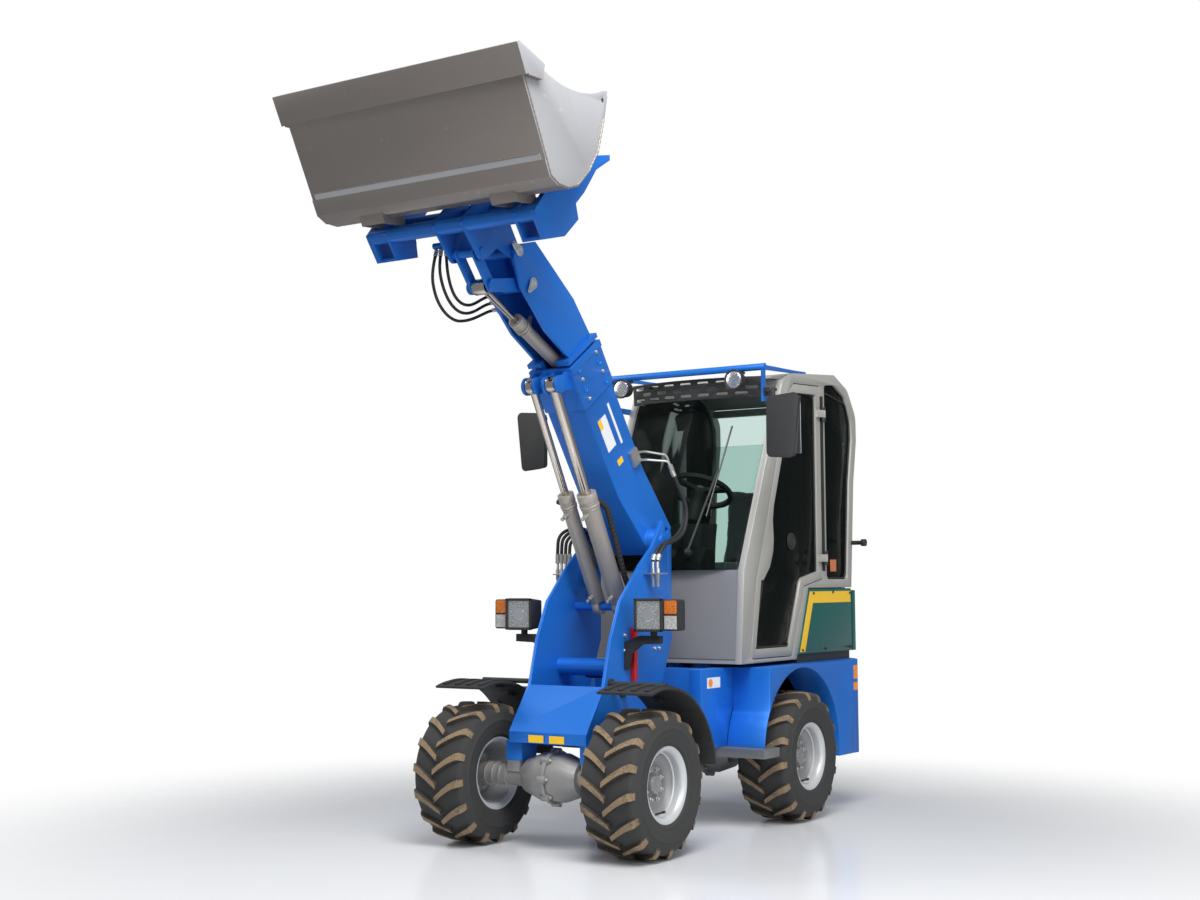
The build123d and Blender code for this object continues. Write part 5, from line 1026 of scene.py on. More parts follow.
# ------------------------------------------------------------------ front frame
@dataclass
class FrontFrame:
    """Front frame with lamps, fenders, strut, horn and hose couplings."""

    lamp_x: float = 372.0
    lamp_station: float = 215.0
    lamp_height: float = 1072.0
    lamp_half: float = 77.5
    signal_x: float = 484.5
    fender_x: float = 460.0
    fender_radius: float = 420.0
    tower_face: float = 216.0

    def build(self) -> None:
        """Gives the frame's plates broken edges."""
        redressed("front_chassis", Paint.BLUE, bevel=2.2)
        redressed("front_fenders", Paint.PLASTIC, bevel=3.0, split=0.03)
        redressed("headlamps", Paint.PLASTIC, bevel=6.0, split=0.03)
        redress_all((("horn", Paint.BLACK, 1.2), ("hose_couplings", Paint.ZINC, 0.8),
                     ("safety_strut", Paint.RED, 2.0)))

    def dress(self) -> None:
        """Lamp lenses, bolts and blank plates."""
        for name, side in HANDS:
            self.headlamp(name, side)
            self.fender_bolts(name, side)
            self.tower_bolts(name, side)
        form = Form()
        for x in (-58, 58):
            form.block((x, -83, 508), (84, 1.2, 34))
        form.piece("nose_plates", "front_frame", Paint.YELLOW, bevel=0.3)

    def headlamp(self, name: str, side: int) -> None:
        """Bezel, reflector, lens and direction light of one side."""
        x, front = side * self.lamp_x, self.lamp_station
        z, half = self.lamp_height, self.lamp_half
        slab(f"headlamp_glass_{name}", "front_frame", Paint.LENS, (x, front - 1.5, z),
             (2 * half - 20, 4, 2 * half - 20), 1.5)
        form = Form()
        for dx, dz, sx, sz in ((0, half - 7, 2 * half - 2, 12), (0, 7 - half, 2 * half - 2, 12),
                               (half - 7, 0, 12, 2 * half - 2), (7 - half, 0, 12, 2 * half - 2)):
            form.block((x + dx, front - 4, z + dz), (sx, 12, sz))
        form.piece(f"headlamp_bezel_{name}", "front_frame", Paint.PLASTIC, bevel=2.5)
        turned(f"headlamp_bulb_shade_{name}", "front_frame", Paint.MIRROR,
               (x, front - 3, z), (0, -1, 0), [(30, 0), (30, 2.4), (26, 3.4), (0, 3.6)], 36)
        for label, dz, paint in (("amber", 36, Paint.AMBER), ("clear", -34, Paint.WHITE_LENS)):
            slab(f"signal_{label}_{name}", "front_frame", paint,
                 (side * self.signal_x, front + 8, z + dz), (66, 6, 62), 2.5)

    def fender_bolts(self, name: str, side: int) -> None:
        """Bolts along the fender's bars."""
        form = Form()
        for x in (-70, 0, 70):
            for turn in (math.radians(17.3), math.radians(32.4)):
                out = Vector((0, math.sin(turn), math.cos(turn)))
                middle = Vector((side * self.fender_x + x, 0, AXLE_HEIGHT))
                form.bolt(middle + out * self.fender_radius, out, 7)
        form.piece(f"fender_bolts_{name}", "front_frame", Paint.BLACK)

    def tower_bolts(self, name: str, side: int) -> None:
        """Bolts and pin locks on the outside of a tower."""
        form = Form()
        for station, height in ((250, 905), (250, 975), (330, 905), (330, 975), (520, 905),
                                (560, 905)):
            form.bolt((side * self.tower_face, station, height), (side, 0, 0), 9)
        form.piece(f"tower_bolts_{name}", "front_frame", Paint.ZINC, bevel=0.5)


# ------------------------------------------------------------------ boom
@dataclass
class Boom:
    """Outer and inner boom with the bolts of the wear pads and blank plates."""

    half: float = 118.0
    bolt_start: float = 822.0
    bolt_pitch: float = 52.0

    def build(self) -> None:
        """Broken edges on both sections."""
        redress_all((("boom_outer", Paint.BLUE, 2.5), ("boom_inner", Paint.BLUE, 2.0),
                     ("boom_pipes", Paint.ZINC, 1.0)))

    def dress(self) -> None:
        """Two columns of bolts and recesses on the sleeve, and the plates."""
        for name, side in HANDS:
            bolts, rings = Form(), Form()
            face = side * self.half
            for column, over in enumerate((-24, 150)):
                for row in range(4):
                    seat = on_boom(face, self.bolt_start + row * self.bolt_pitch, over)
                    if (row + column) % 2 == 0:
                        bolts.bolt(seat, (side, 0, 0), 10)
                    else:
                        rings.lathe(seat, (side, 0, 0), [(17, 0), (17, 2.4), (15, 3.4), (11, 3.4),
                                                         (9, 0.8), (0, 0.8)], 28)
            bolts.piece(f"sleeve_bolts_{name}", "boom", Paint.ZINC, bevel=0.5)
            rings.piece(f"sleeve_recesses_{name}", "boom", Paint.BLUE)
        self.plate("boom_plate_white", 520, 690, -20, 60, Paint.WHITE)
        self.plate("boom_plate_corner", 640, 690, -20, 10, Paint.YELLOW, lift=1.0)
        self.plate("boom_strip", 500, 720, 100, 118, Paint.WHITE)
        self.plate("boom_plate_yellow", 420, 450, 20, 70, Paint.YELLOW)

    def plate(self, name: str, start: float, end: float, low: float, high: float,
              paint: Paint, lift: float = 0.0) -> None:
        """A blank sticker on the boom's left face."""
        form = Form()
        x = self.half - 8 + lift
        form.prism([on_boom(x, start, low), on_boom(x, end, low), on_boom(x, end, high),
                    on_boom(x, start, high)], (STICKER, 0, 0))
        form.piece(name, "boom", paint)


# ------------------------------------------------------------------ hitch and bucket
@dataclass
class Hitch:
    """Quick hitch, rocker and links with pin heads and retainer plates."""

    pivot: Flat = (-435.0, 2705.0)
    rocker_pivot: Flat = (-327.0, 2573.0)
    face: float = 108.0

    def build(self) -> None:
        """Broken edges on the linkage."""
        redress_all((("hitch", Paint.BLUE, 2.0), ("rocker", Paint.BLUE, 1.8),
                     ("link", Paint.BLUE, 1.8)))

    def dress(self) -> None:
        """Pin heads with teardrop retainer plates."""
        for side, name in ((1, "left"), (-1, "right")):
            self.retainer(f"hitch_pin_lock_{name}", self.pivot, side, 150)
            self.retainer(f"rocker_pin_lock_{name}", self.rocker_pivot, side, 230)

    def retainer(self, name: str, centre: Flat, side: int, heading: float) -> None:
        """Ring and tongue plate that lock a pin, with their bolt."""
        form = Form()
        x = side * self.face
        turn = math.radians(heading)
        tip = (centre[0] + 48 * math.cos(turn), centre[1] + 48 * math.sin(turn))
        around = []
        for k in range(20):
            angle = turn + math.pi / 2 + math.pi * k / 19
            around.append((centre[0] + 27 * math.cos(angle), centre[1] + 27 * math.sin(angle)))
        for k in range(9):
            angle = turn - math.pi / 2 + math.pi * k / 8
            around.append((tip[0] + 12 * math.cos(angle), tip[1] + 12 * math.sin(angle)))
        form.side_plate(around, x if side > 0 else x - 5, 5)
        form.lathe((x + side * 5, *centre), (side, 0, 0),
                   [(21, 0), (21, 2), (17, 4), (8, 4), (7, 2), (0, 2)], 36)
        form.bolt((x + side * 5, *tip), (side, 0, 0), 8)
        form.piece(name, "telescope", Paint.PIN, bevel=0.8)


@dataclass
class Bucket:
    """Bucket with weld seams and cheeks drawn paler as a painted highlight."""

    half: float = 636.0
    heel: Point = (0.0, -935.0, 2868.0)
    edge: Point = (0.0, -1186.0, 3353.0)
    skin: float = 6.0
    heel_width: float = 96.0

    def build(self) -> None:
        """Worn bare steel; its cheeks are drawn brighter as a painted highlight."""
        bucket = redressed("bucket", Paint.BUCKET, Paint.BUCKET_SIDE, bevel=1.8, split=0.01)
        # faces of the cheeks that point sideways take the paler copy of the steel: painted
        # highlight
        for face in bucket.data.polygons:
            if abs(face.normal.x) > 0.9 and abs(face.center.x) > (self.half - 30) * MM:
                face.material_index = 1

    def dress(self) -> None:
        """Weld beads along the cheeks, and the heel plate with its bead."""
        shell = [(-1150, 3300), (-935, 2868), (-880, 2845), (-813, 2843), (-740, 2868),
                 (-657, 2945), (-590, 3041), (-545, 3190)]
        form = Form()
        for side in (1, -1):
            self.weld(form, [(side * (self.half + 1), s, z) for s, z in shell], 4.5)
        form.piece("bucket_side_welds", "bucket_group", Paint.BUCKET)
        along = (Vector(self.edge) - Vector(self.heel)).normalized()
        out = Vector((0, -along.z, along.y))
        skin = Vector(self.heel) + out * self.skin
        reach = along * self.heel_width
        start = Vector((20 - self.half, 0, 0))
        form = Form()
        form.prism([start + p for p in (skin, skin + out * 3, skin + reach + out * 3,
                                        skin + reach)], (2 * self.half - 40, 0, 0))
        # the heel plate takes the paler steel with the painted highlight
        form.piece("bucket_heel_plate", "bucket_group", Paint.BUCKET_SIDE, bevel=0.8)
        form = Form()
        seam = skin + reach + along * 3 + out
        self.weld(form, [seam + Vector((x, 0, 0)) for x in (-616, 0.1, 616)], 4.0)
        form.piece("bucket_heel_weld", "bucket_group", Paint.BUCKET)

    def weld(self, form: Form, points: list[Point], radius: float) -> None:
        """A rippled weld bead along a line."""
        line = rounded_line(points, 20, 5.0)
        form.tube(line, radius, 8, [0.82 + 0.18 * math.cos(k * 1.3) for k in range(len(line))])


@dataclass
class Cylinders:
    """Hydraulic cylinders: barrels, gland rings, ports and polished rods."""

    barrel: float = 610.0
    base: Point = (0.0, 470.0, 1110.0)
    pin: Point = (0.0, -88.0, 2140.0)

    def build(self) -> None:
        """Barrels and rods with smooth edges."""
        for name in ("lift", "levelling", "tilt", "steering"):
            redressed(name + "_barrel", Paint.BARREL, bevel=1.2, split=0.02)
            redressed(name + "_rod", Paint.CHROME, bevel=0.8, split=0.02)

    def dress(self) -> None:
        """Gland rings and pipe ports along each barrel."""
        base = Vector(self.base)
        way = (Vector(self.pin) - base).normalized()
        for name, x, radius in (("lift", 50, 44), ("levelling", -70, 36)):
            self.fittings(name, base + Vector((x, 0, 0)), way, self.barrel, radius)
        start, end = Vector((0, 105.4, 2215.8)), Vector((0, -564, 2533))
        self.fittings("tilt", start, (end - start).normalized(), (end - start).length - 273, 36)

    def fittings(self, name: str, base: Vector, way: Vector, length: float,
                 radius: float) -> None:
        """Gland rings, port blocks and elbow fittings of one barrel."""
        body = name + "_cylinder"
        form = Form()
        # the tilt barrel's rings stay low, because rocker and link pass close by
        height = 0.4 if name == "tilt" else 1.0
        for offset, size, depth in ((-78, 3.0, 6), (-66, 5.0, 12), (-46, 3.5, 5)):
            proud = radius + size * height
            form.lathe(base + way * (length + offset), way,
                       [(radius - 2, 0), (proud - 1, 0), (proud, 1.2), (proud, depth - 1.2),
                        (proud - 1, depth), (radius - 2, depth)], 48, closed=True)
        form.piece(f"{name}_gland_rings", body, Paint.BARREL)
        form = Form()
        out = way.cross(Vector((1, 0, 0))).normalized()
        out = out if out.y < 0 or name == "tilt" else -out
        for offset in (70, length - 95):
            spot = base + way * offset + out * (radius - 2)
            form.lathe(spot, out, [(13, 0), (13, 9), (10, 10), (10, 16)], 24)
            form.lathe(spot + out * 16, out, [(13, 0), (13, 10), (11, 12)], 6)
            form.lathe(spot + out * 28, out, [(7, 0), (7, 8), (9, 9), (9, 22), (7, 23)], 20)
        form.piece(f"{name}_ports", body, Paint.ZINC, bevel=0.5)


# ------------------------------------------------------------------ plumbing
@dataclass
class Plumbing:
    """Hoses and pipes that one body holds along their whole way."""

    shelf: float = 452.0
    pipe_face: float = -130.0

    def build(self) -> None:
        """Spiral-wrapped bundles beside the barrels and between the towers."""
        base = Vector(Cylinders.base)
        way = (Vector(Cylinders.pin) - base).normalized()
        over = Vector((0, way.z, -way.y)).normalized()
        for name, x, radius in (("lift", 104, 15), ("levelling", -122, 13)):
            start = base + Vector((x, 0, 0))
            points = [start + way * a + over * b + Vector((c, 0, 0)) for a, b, c in (
                (560, 30, -30), (520, 62, -6), (440, 52, 0), (330, 40, 4), (210, 30, 4),
                (110, 34, 0), (60, 60, -8), (20, 84, -18))]
            self.wrapped(f"{name}_hose_bundle", name + "_cylinder", points, radius)
        self.wrapped("tower_hose_bundle", "front_frame", [
            (96, 560, 1120), (92, 520, 1040), (70, 470, 960), (40, 420, 890), (10, 400, 820)], 16)

    def hose(self, name: str, body: str, line: list[Vector], radius: float,
             sides: int) -> None:
        """A plain hose along a line."""
        form = Form()
        form.tube(line, radius, sides)
        form.piece(name, body, Paint.RUBBER)

    def wrapped(self, name: str, body: str, points: list, radius: float) -> None:
        """A hose in a spiral guard.

        Args:
            name: Name of the piece.
            body: Body that holds it.
            points: Control points.
            radius: Outer radius of the guard.
        """
        line = nurbs_line([tuple(p) for p in points], 26)
        form = Form()
        form.tube(line, radius, 16, [0.84 + 0.16 * abs(math.sin(k * 0.55))
                                     for k in range(len(line))])
        form.piece(name, body, Paint.RUBBER, angle=80)

    def dress(self) -> None:
        """Hoses at the right tower, thin pipes at the boom's mouth, low fittings."""
        for index, x in enumerate((-234, -258, -282, -306)):
            inside = -160 - index * 5
            back = index * 19
            line = nurbs_line([
                (x, self.shelf, 1322), (x - 2, self.shelf, 1372),
                (x + 2, self.shelf + 8, 1436 + index * 12),
                (x + 60, 500 + back, 1462 + index * 14),
                (inside - 26, 530 + back, 1440 + index * 12), (inside, 540 + back, 1380),
                (inside, 536 + back, 1300), (inside, 520 + back, 1200)], 16)
            self.hose(f"tower_hose_{index + 1}", "front_frame", line, 8.5, 12)
            turned(f"tower_hose_ferrule_{index + 1}", "front_frame", Paint.ZINC,
                   (x, self.shelf, 1320), (0, 0, 1),
                   [(9, 0), (12, 2), (12, 12), (10, 13), (11, 16), (11, 44), (9, 46)], 18)
        pipes, x = (70, 100, 130), self.pipe_face
        for index, over in enumerate(pipes):
            line = rounded_line([
                on_boom(x, 700, over), on_boom(x, 860 + 20 * index, over),
                on_boom(-146, 925 + 12 * index, over - 40), on_boom(-134, 960, over - 100)], 40)
            self.hose(f"mouth_pipe_{index + 1}", "boom", line, 5, 10)
        clamps = Form()
        for along in (730, 850):
            for over in pipes:
                clamps.lathe(on_boom(x, along, over), (0, *ALONG),
                             [(8.5, -7), (9, -6), (9, 6), (8.5, 7)], 18)
                clamps.bolt(on_boom(x + 9, along, over + 15), (-1, 0, 0), 6)
        clamps.piece("mouth_pipe_clamps", "boom", Paint.ZINC)
        form = Form()
        form.block((0, 385, 800), (150, 96, 70))
        form.block((0, 350, 838), (110, 60, 40))
        form.piece("valve_block", "front_frame", Paint.BLACK, bevel=14.0)
        form = Form()
        for x in (-54, -18, 18, 54):
            form.lathe((x, 338, 806), (0, -1, 0.3), [(13, 0), (13, 12), (9, 13), (9, 24),
                                                    (12, 25), (12, 34), (8, 36)], 6)
        form.piece("valve_fittings", "front_frame", Paint.ZINC, bevel=0.6)


# ------------------------------------------------------------------ rear body
@dataclass
class RearBody:
    """Rear frame, tanks, fenders, weight, covers, lamps and steps."""

    panel_x: float = 460.0
    flank_x: float = 555.0
    tank_x: float = 345.0

    def build(self) -> None:
        """Broken edges on every plate of the rear body."""
        redress_all((
            ("rear_chassis", Paint.BLUE, 2.0), ("side_tanks", Paint.BLUE, 6.0),
            ("rear_fenders", Paint.BLUE, 3.0), ("counterweight", Paint.BLUE, 6.0),
            ("engine_side_panels", Paint.COVER, 4.0), ("engine_hatch", Paint.COVER, 4.0),
            ("engine_block", Paint.ENGINE, 4.0), ("rear_lamps", Paint.RED_LENS, 3.0),
            ("steps", Paint.STEP, 1.0)))

    def dress(self) -> None:
        """Angled band, blank plates, panel screws and lamp frames."""
        for name, side in HANDS:
            face = side * self.panel_x
            self.sheet(f"panel_band_{name}", face, side, Paint.YELLOW,
                       [(1588, 850), (1650, 850), (1752, 1108), (2228, 1108), (2228, 1170),
                        (1716, 1170)])
            flank = side * self.flank_x
            self.sheet(f"flank_orange_{name}_1", flank, side, Paint.ORANGE,
                       [(2048, 690), (2096, 690), (2096, 765), (2048, 765)])
            self.sheet(f"flank_orange_{name}_2", flank, side, Paint.ORANGE,
                       [(2046, 630), (2098, 630), (2098, 672), (2046, 672)])
            slab(f"flank_white_{name}", "rear_frame", Paint.WHITE, (side * 512, 2181.5, 585),
                 (5, 22, 330), 0.5, Matrix.Rotation(side * math.radians(36.3), 3, "Z"))
            self.sheet(f"tank_white_{name}", side * self.tank_x, side, Paint.WHITE,
                       [(800, 700), (930, 700), (930, 752), (800, 752)])
            turned(f"tank_disc_{name}", "rear_frame", Paint.ORANGE,
                   (side * (self.tank_x + STICKER), 832, 726), (side, 0, 0),
                   [(21, 0), (21, STICKER)], 28)
            slab(f"body_seam_{name}", "rear_frame", Paint.BLACK, (side * 436, 1905, 816.5),
                 (24, 650, 42), 2.0)
            form = Form()
            for station, height in ((1620, 860), (1760, 1160), (2000, 1165), (2215, 1160),
                                    (2215, 860), (1900, 860)):
                form.bolt((face, station, height), (side, 0, 0), 7)
            form.piece(f"panel_screws_{name}", "rear_frame", Paint.BLACK)
            slab(f"rear_lamp_frame_{name}", "rear_frame", Paint.PLASTIC,
                 (side * 145, 2327, 720), (122, 8, 72), 3.0)

    def sheet(self, name: str, face: float, side: int, paint: Paint,
              outline: list[Flat]) -> None:
        """A thin blank plate stuck on a side panel."""
        form = Form()
        form.side_plate(outline, face if side > 0 else face - STICKER, STICKER)
        form.piece(name, "rear_frame", paint)


# ------------------------------------------------------------------ cab
@dataclass
class Cab:
    """Cab with its glass, seals, door and inner fittings."""

    seal_x: float = 446.0
    screen_foot: Flat = (985.0, 1284.0)
    screen_lean: float = 0.4515
    screen_half: float = 425.0
    screen_bow: float = 60.0

    def build(self) -> None:
        """Frame, roof, panels, glass and furniture."""
        redress_all((
            ("cab_frame", Paint.CAB, 3.0), ("cab_roof", Paint.CAB, 6.0),
            ("cab_front_panel", Paint.PANEL, 4.0), ("cab_floor", Paint.BLACK, 2.0),
            ("door_frame", Paint.CAB, 3.0), ("door_hinges", Paint.BLACK, 1.5),
            ("console", Paint.PLASTIC, 10.0), ("steering_column", Paint.PLASTIC, 4.0),
            ("cab_glass", Paint.GLASS, 0.4), ("door_glass", Paint.GLASS, 0.4)))

    def dress(self) -> None:
        """Rubber seals, wiper, instruments and what the driver's hand reaches."""
        self.seal("door_seal", "door", self.seal_x,
                  [(1104, 890), (1478, 890), (1622, 1224), (1816, 1262), (1816, 2236),
                   (1508, 2236)])
        for name, side in HANDS:
            self.seal(f"quarter_seal_{name}", "rear_frame", side * self.seal_x,
                      [(1936, 1242), (2189, 1242), (2233, 1790), (2276, 2025), (2272, 2120),
                       (2225, 2225), (1936, 2270)])
        self.wiper()
        self.dash()
        self.door_fittings()
        turned("wheel_hub_cap", "rear_frame", Paint.GREY_PLASTIC, (0, 1340, 1700),
               (0, 0.45, 0.893), [(26, 14), (30, 18), (30, 30), (24, 34), (0, 35)], 36)
        slab("console_switches", "rear_frame", Paint.GREY_PLASTIC, (-335, 1385, 1424),
             (110, 80, 10), 2.0, Matrix.Rotation(-0.2, 3, "X"))
        form = Form()
        form.rod((-318, 1455, 1410), (-300, 1430, 1530), 7, 16)
        form.lathe((-300, 1430, 1530), (0.15, -0.2, 1), [(9, -8), (20, 4), (24, 22), (20, 40),
                                                        (8, 50), (0, 51)], 32)
        form.piece("control_lever", "rear_frame", Paint.RUBBER)

    def screen(self, x: float, height: float, proud: float) -> Point:
        """Point in front of the bowed windscreen."""
        station, foot = self.screen_foot
        bow = self.screen_bow * (1 - (x / self.screen_half) ** 2)
        return (x, station + (height - foot) * self.screen_lean - bow - proud, height)

    def wiper(self) -> None:
        """Wiper arm, blade and its drive on the windscreen."""
        form = Form()
        form.tube([Vector(self.screen(150 + 70 * t, 1375 + 430 * t, 22 - 6 * t))
                   for t in (0, 0.25, 0.5, 0.75, 1.0)], 6, 10)
        form.tube([Vector(self.screen(205 + 36 * t, 1560 + 480 * t, 10))
                   for t in (0, 0.2, 0.4, 0.6, 0.8, 1.0)], 5, 8)
        form.lathe(self.screen(150, 1375, 4), (0, -1, 0.45), [(17, 0), (17, 18), (13, 24),
                                                             (0, 25)], 28)
        form.piece("wiper", "rear_frame", Paint.BLACK)

    def dash(self) -> None:
        """Black dashboard under the windscreen with its blank dials."""
        form = Form()
        form.prism([(-190, 1052, 1150), (-190, 1010, 1330), (-190, 1085, 1405),
                    (-190, 1175, 1395), (-190, 1190, 1150)], (380, 0, 0))
        form.piece("dashboard", "rear_frame", Paint.PLASTIC, bevel=14.0)
        form = Form()
        for x in (-95, 0, 95):
            form.lathe((x, 1045, 1368), (0, -0.7, 0.72), [(31, -4), (31, 3), (27, 5), (25, 1),
                                                         (0, 1)], 36)
        form.piece("dash_dials", "rear_frame", Paint.GREY_PLASTIC)

    def door_fittings(self) -> None:
        """Door lock, handle, reflector and rubber strip on the left side."""
        turned("door_lock", "door", Paint.PLASTIC, (444, 1276, 1452), (1, 0, 0),
               [(40, -3), (46, 1), (46, 6), (38, 9), (34, 5), (0, 5)], 40)
        turned("door_handle", "door", Paint.PLASTIC, (444, 1531, 1435), (1, 0, 0),
               [(44, 0), (46, 3), (44, 8), (36, 9), (32, 4), (30, 4), (28, 9), (10, 11),
                (0, 11)], 44)
        slab("side_reflector", "rear_frame", Paint.AMBER, (447, 2039, 1311), (4, 74, 66), 1.5)
        slab("stile_strip", "rear_frame", Paint.RUBBER, (459, 1893, 1760), (3, 40, 960), 1.0)

    def seal(self, name: str, body: str, x: float, outline: list[Flat]) -> None:
        """A rubber bead round a window."""
        points = [(x, s, z) for s, z in outline]
        start = tuple((a + b) / 2 for a, b in zip(points[0], points[-1]))
        form = Form()
        form.tube(rounded_line([start, *points, start], 45, 8.0), 5.5, 10)
        form.piece(name, body, Paint.RUBBER)


@dataclass
class Seat:
    """Seat with two cushions pressed out of woven cloth.

    Attributes:
        pressure: Pressure that puffs the cushions.
        steps: Steps of cloth simulation.
        swell: Farthest that a point may move, in metres.
        voxel: Grain of the cushions' mesh, in metres.
    """

    pressure: float = 4.0
    steps: int = 20
    swell: float = 0.022
    voxel: float = 0.006

    def build(self) -> None:
        """Makes both cushions."""
        self.cushion("seat_cushion", (0, 1770, 1255), (450, 430, 110), Matrix.Identity(3))
        lean = Matrix.Rotation(math.radians(-9), 3, "X")
        self.cushion("seat_back", (0, 2022, 1520), (430, 84, 460), lean)
        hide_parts("seat")

    def cushion(self, name: str, centre: Point, size: Point, lean: Matrix) -> None:
        """One cushion, plump and creased at its seams.

        Args:
            name: Name of the piece.
            centre: Its middle.
            size: Its width, depth and height.
            lean: How it leans.
        """
        form = Form()
        form.block(centre, size, lean)
        bmesh.ops.bevel(form.mesh, geom=form.mesh.edges[:], offset=26, segments=4,
                        affect="EDGES", profile=0.6)
        data = form.data(name)
        piece = bpy.data.objects.new(name, data)
        bpy.context.scene.collection.objects.link(piece)
        data.materials.append(Paint.SEAT.material)
        remesh = piece.modifiers.new("even", "REMESH")
        remesh.mode, remesh.voxel_size = "VOXEL", self.voxel
        self.freeze(piece)
        before = [vertex.co.copy() for vertex in piece.data.vertices]
        cloth = piece.modifiers.new("press", "CLOTH")
        cloth.settings.use_pressure = True
        cloth.settings.uniform_pressure_force = self.pressure
        cloth.settings.effector_weights.gravity = 0.0
        for frame_number in range(1, self.steps + 1):
            bpy.context.scene.frame_set(frame_number)
        self.freeze(piece)
        for vertex, start in zip(piece.data.vertices, before):
            move = vertex.co - start
            if move.length > self.swell:
                vertex.co = start + move.normalized() * self.swell
        bpy.context.scene.frame_set(1)
        piece.data.polygons.foreach_set("use_smooth", [True] * len(piece.data.polygons))
        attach(piece, "rear_frame")
        LOG.info("%s with %d faces", name, len(piece.data.polygons))

    def freeze(self, piece: bpy.types.Object) -> None:
        """Applies a piece's modifiers."""
        evaluated = piece.evaluated_get(bpy.context.evaluated_depsgraph_get())
        data = bpy.data.meshes.new_from_object(evaluated)
        old = piece.data
        piece.modifiers.clear()
        piece.data = data
        bpy.data.meshes.remove(old)

    def dress(self) -> None:
        """Plate under the cushion."""
        slab("seat_base", "rear_frame", Paint.BLACK, (0, 1775, 1199), (380, 360, 18), 4.0)


# ------------------------------------------------------------------ outfit
@dataclass
class Outfit:
    """What is carried outside the cab: visor, lamp bar, work lamps, mirrors."""

    def build(self) -> None:
        """Broken edges on each carried piece."""
        redress_all((("sun_visor", Paint.PLASTIC, 1.5), ("lamp_bar", Paint.BLUE, 2.0),
                     ("work_lamps", Paint.PLASTIC, 3.0), ("mirrors", Paint.PLASTIC, 4.0)))

    def dress(self) -> None:
        """Lamp lenses, mirror glass and bolts."""
        for name, side in HANDS:
            spot = (side * 345, 1110, 2262)
            turned(f"work_lamp_lens_{name}", "rear_frame", Paint.LENS, spot, (0, -1, 0),
                   [(46, -2), (46, 4), (40, 8), (20, 11), (0, 12)], 48)
            turned(f"work_lamp_ring_{name}", "rear_frame", Paint.PLASTIC, spot, (0, -1, 0),
                   [(46, -6), (52, -4), (53, 8), (50, 11), (46, 9)], 48, closed=True)
            slab(f"mirror_face_{name}", "rear_frame", Paint.MIRROR, (side * 757, 891, 1985),
                 (150, 3, 280), 1.0)
            form = Form()
            for station, height in ((1215, 2215), (1215, 2265)):
                form.bolt((side * 455, station, height), (side, 0, 0), 9)
            form.piece(f"bar_bolts_{name}", "rear_frame", Paint.ZINC)


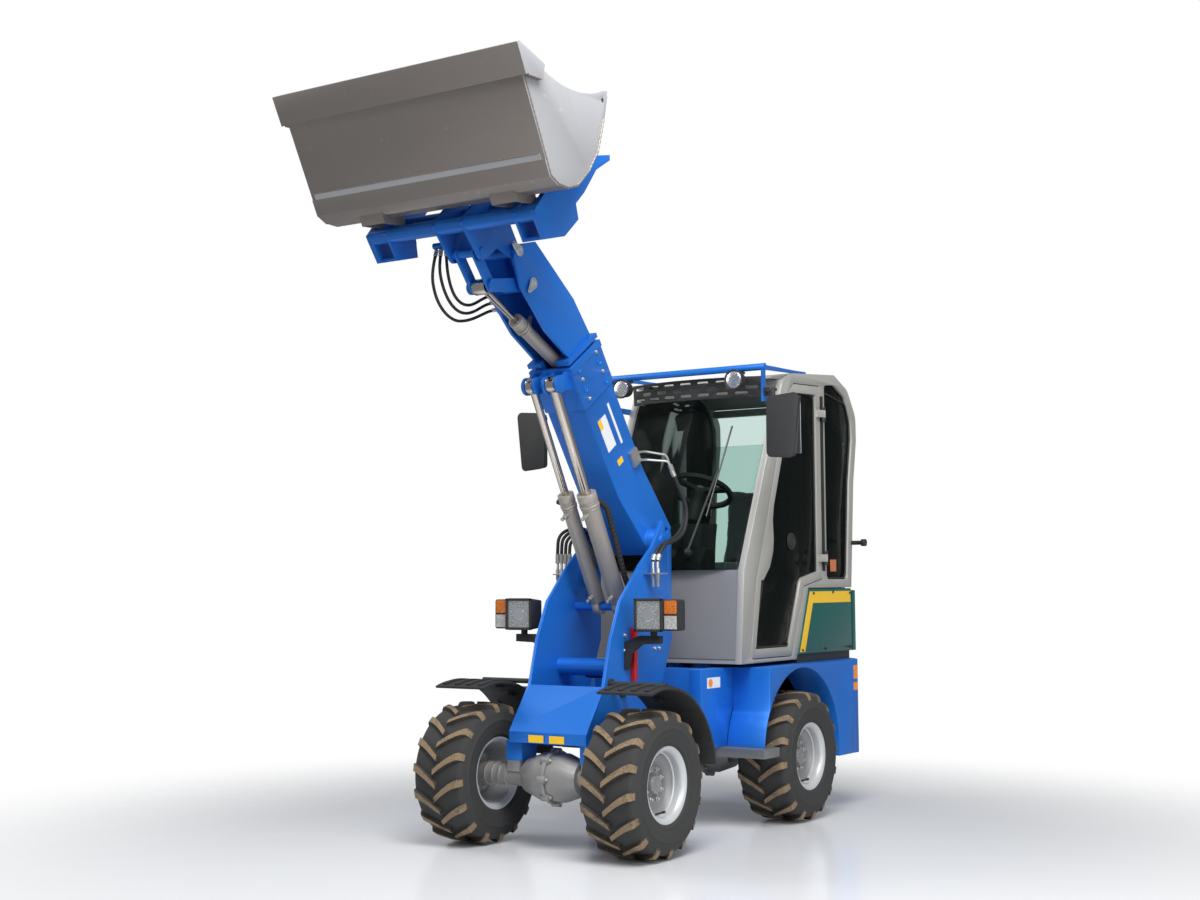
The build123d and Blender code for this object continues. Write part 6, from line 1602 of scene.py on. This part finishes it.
# ------------------------------------------------------------------ studio
@dataclass
class Studio:
    """Pale floor, soft light and the camera."""

    eye: Point = (4.3993, -6.8524, 1.2231)
    heading: float = 33.445
    pitch: float = 4.6192
    roll: float = -0.3047
    lens: float = 49.25
    sky: float = 0.34
    reach: float = 14.0
    fade: Flat = (1.6, 4.2)
    key: float = 500.0
    fill: float = 150.0
    rim: float = 160.0

    def build(self) -> None:
        """Makes the world, the lamps and the floor."""
        self.world()
        self.floor()
        self.lamp("key_light", (2.6, -3.2, 6.2), (0.0, 0.2, 1.0), 3.4, self.key)
        self.lamp("fill_light", (6.2, -2.8, 2.6), (0.2, 0.2, 1.2), 4.0, self.fill)
        self.lamp("rim_light", (-5.4, -1.2, 4.2), (0.0, 0.2, 1.4), 3.4, self.rim)

    def world(self) -> None:
        """Pale world that the camera sees as white, also through glass."""
        world = bpy.data.worlds.new("studio")
        bpy.context.scene.world = world
        world.use_nodes = True
        tree = world.node_tree
        tree.nodes.clear()
        path = tree.nodes.new("ShaderNodeLightPath")
        soft, white = (tree.nodes.new("ShaderNodeBackground") for _ in range(2))
        soft.inputs[0].default_value = (0.93, 0.96, 1.0, 1.0)
        soft.inputs[1].default_value = self.sky
        white.inputs[0].default_value = (1.0, 1.0, 1.0, 1.0)
        white.inputs[1].default_value = 1.0
        seen = tree.nodes.new("ShaderNodeMath")
        seen.operation = "MAXIMUM"
        tree.links.new(path.outputs["Is Camera Ray"], seen.inputs[0])
        tree.links.new(path.outputs["Is Transmission Ray"], seen.inputs[1])
        mix = tree.nodes.new("ShaderNodeMixShader")
        out = tree.nodes.new("ShaderNodeOutputWorld")
        tree.links.new(seen.outputs[0], mix.inputs[0])
        tree.links.new(soft.outputs[0], mix.inputs[1])
        tree.links.new(white.outputs[0], mix.inputs[2])
        tree.links.new(mix.outputs[0], out.inputs[0])

    def floor(self) -> None:
        """Wide pale floor that fades into the backdrop and keeps the shadow."""
        graph = Graph("floor")
        fine = graph.noise(3.0, 4.0)
        graph.set(Base_Color=graph.mix(fine.ramp(0.3, 0.7), (0.80, 0.81, 0.83),
                                       (0.76, 0.77, 0.79)),
                  Roughness=fine.ramp(0.2, 0.8, 0.16, 0.24))
        clear = graph.tree.nodes.new("ShaderNodeBsdfTransparent")
        blend = graph.tree.nodes.new("ShaderNodeMixShader")
        spot = graph.node("ShaderNodeVectorMath", {"operation": "LENGTH"},
                          {0: graph.place((1.0, 1.0, 0.0))}, 1)
        graph.put(blend.inputs[0], spot.ramp(*self.fade))
        graph.tree.links.new(graph.shader.outputs[0], blend.inputs[1])
        graph.tree.links.new(clear.outputs[0], blend.inputs[2])
        graph.surface(blend.outputs[0])
        data = bpy.data.meshes.new("studio_floor")
        corners = [(x * self.reach, y * self.reach, 0)
                   for x, y in ((-1, -1), (1, -1), (1, 1), (-1, 1))]
        data.from_pydata(corners, [], [(0, 1, 2, 3)])
        data.materials.append(graph.material)
        floor = bpy.data.objects.new("studio_floor", data)
        bpy.context.scene.collection.objects.link(floor)

    def lamp(self, name: str, spot: Point, aim: Point, size: float, power: float) -> None:
        """One soft area lamp.

        Args:
            name: Name of the lamp.
            spot: Where it hangs.
            aim: What it points at.
            size: Side of the square it shines from.
            power: Its power in watts.
        """
        data = bpy.data.lights.new(name, "AREA")
        data.shape, data.size, data.energy = "SQUARE", size, power
        lamp = bpy.data.objects.new(name, data)
        bpy.context.scene.collection.objects.link(lamp)
        lamp.location = spot
        lamp.rotation_euler = (Vector(aim) - Vector(spot)).to_track_quat("-Z", "Y").to_euler()

    def camera(self) -> None:
        """Sets the camera at the product view."""
        data = bpy.data.cameras.new("product_view")
        data.lens, data.sensor_width = self.lens, 36.0
        camera = bpy.data.objects.new("product_view", data)
        bpy.context.scene.collection.objects.link(camera)
        turn = (Matrix.Rotation(math.radians(self.heading), 4, "Z")
                @ Matrix.Rotation(math.radians(90 + self.pitch), 4, "X")
                @ Matrix.Rotation(math.radians(self.roll), 4, "Z"))
        camera.matrix_world = Matrix.Translation(self.eye) @ turn
        bpy.context.scene.camera = camera
        bpy.context.scene.view_settings.view_transform = "Standard"


def main() -> None:
    """Builds the machine."""
    logging.basicConfig(level=logging.INFO, format="%(message)s")
    studio = Studio()
    studio.camera()
    for part in (Hoses(), *wheels(), Axles(), FrontFrame(), Boom(), Hitch(), Bucket(),
                 Cylinders(), Plumbing(), RearBody(), Cab(), Seat(), Outfit()):
        part.build()
        part.dress()
    studio.build()


if __name__ == "__main__":
    main()
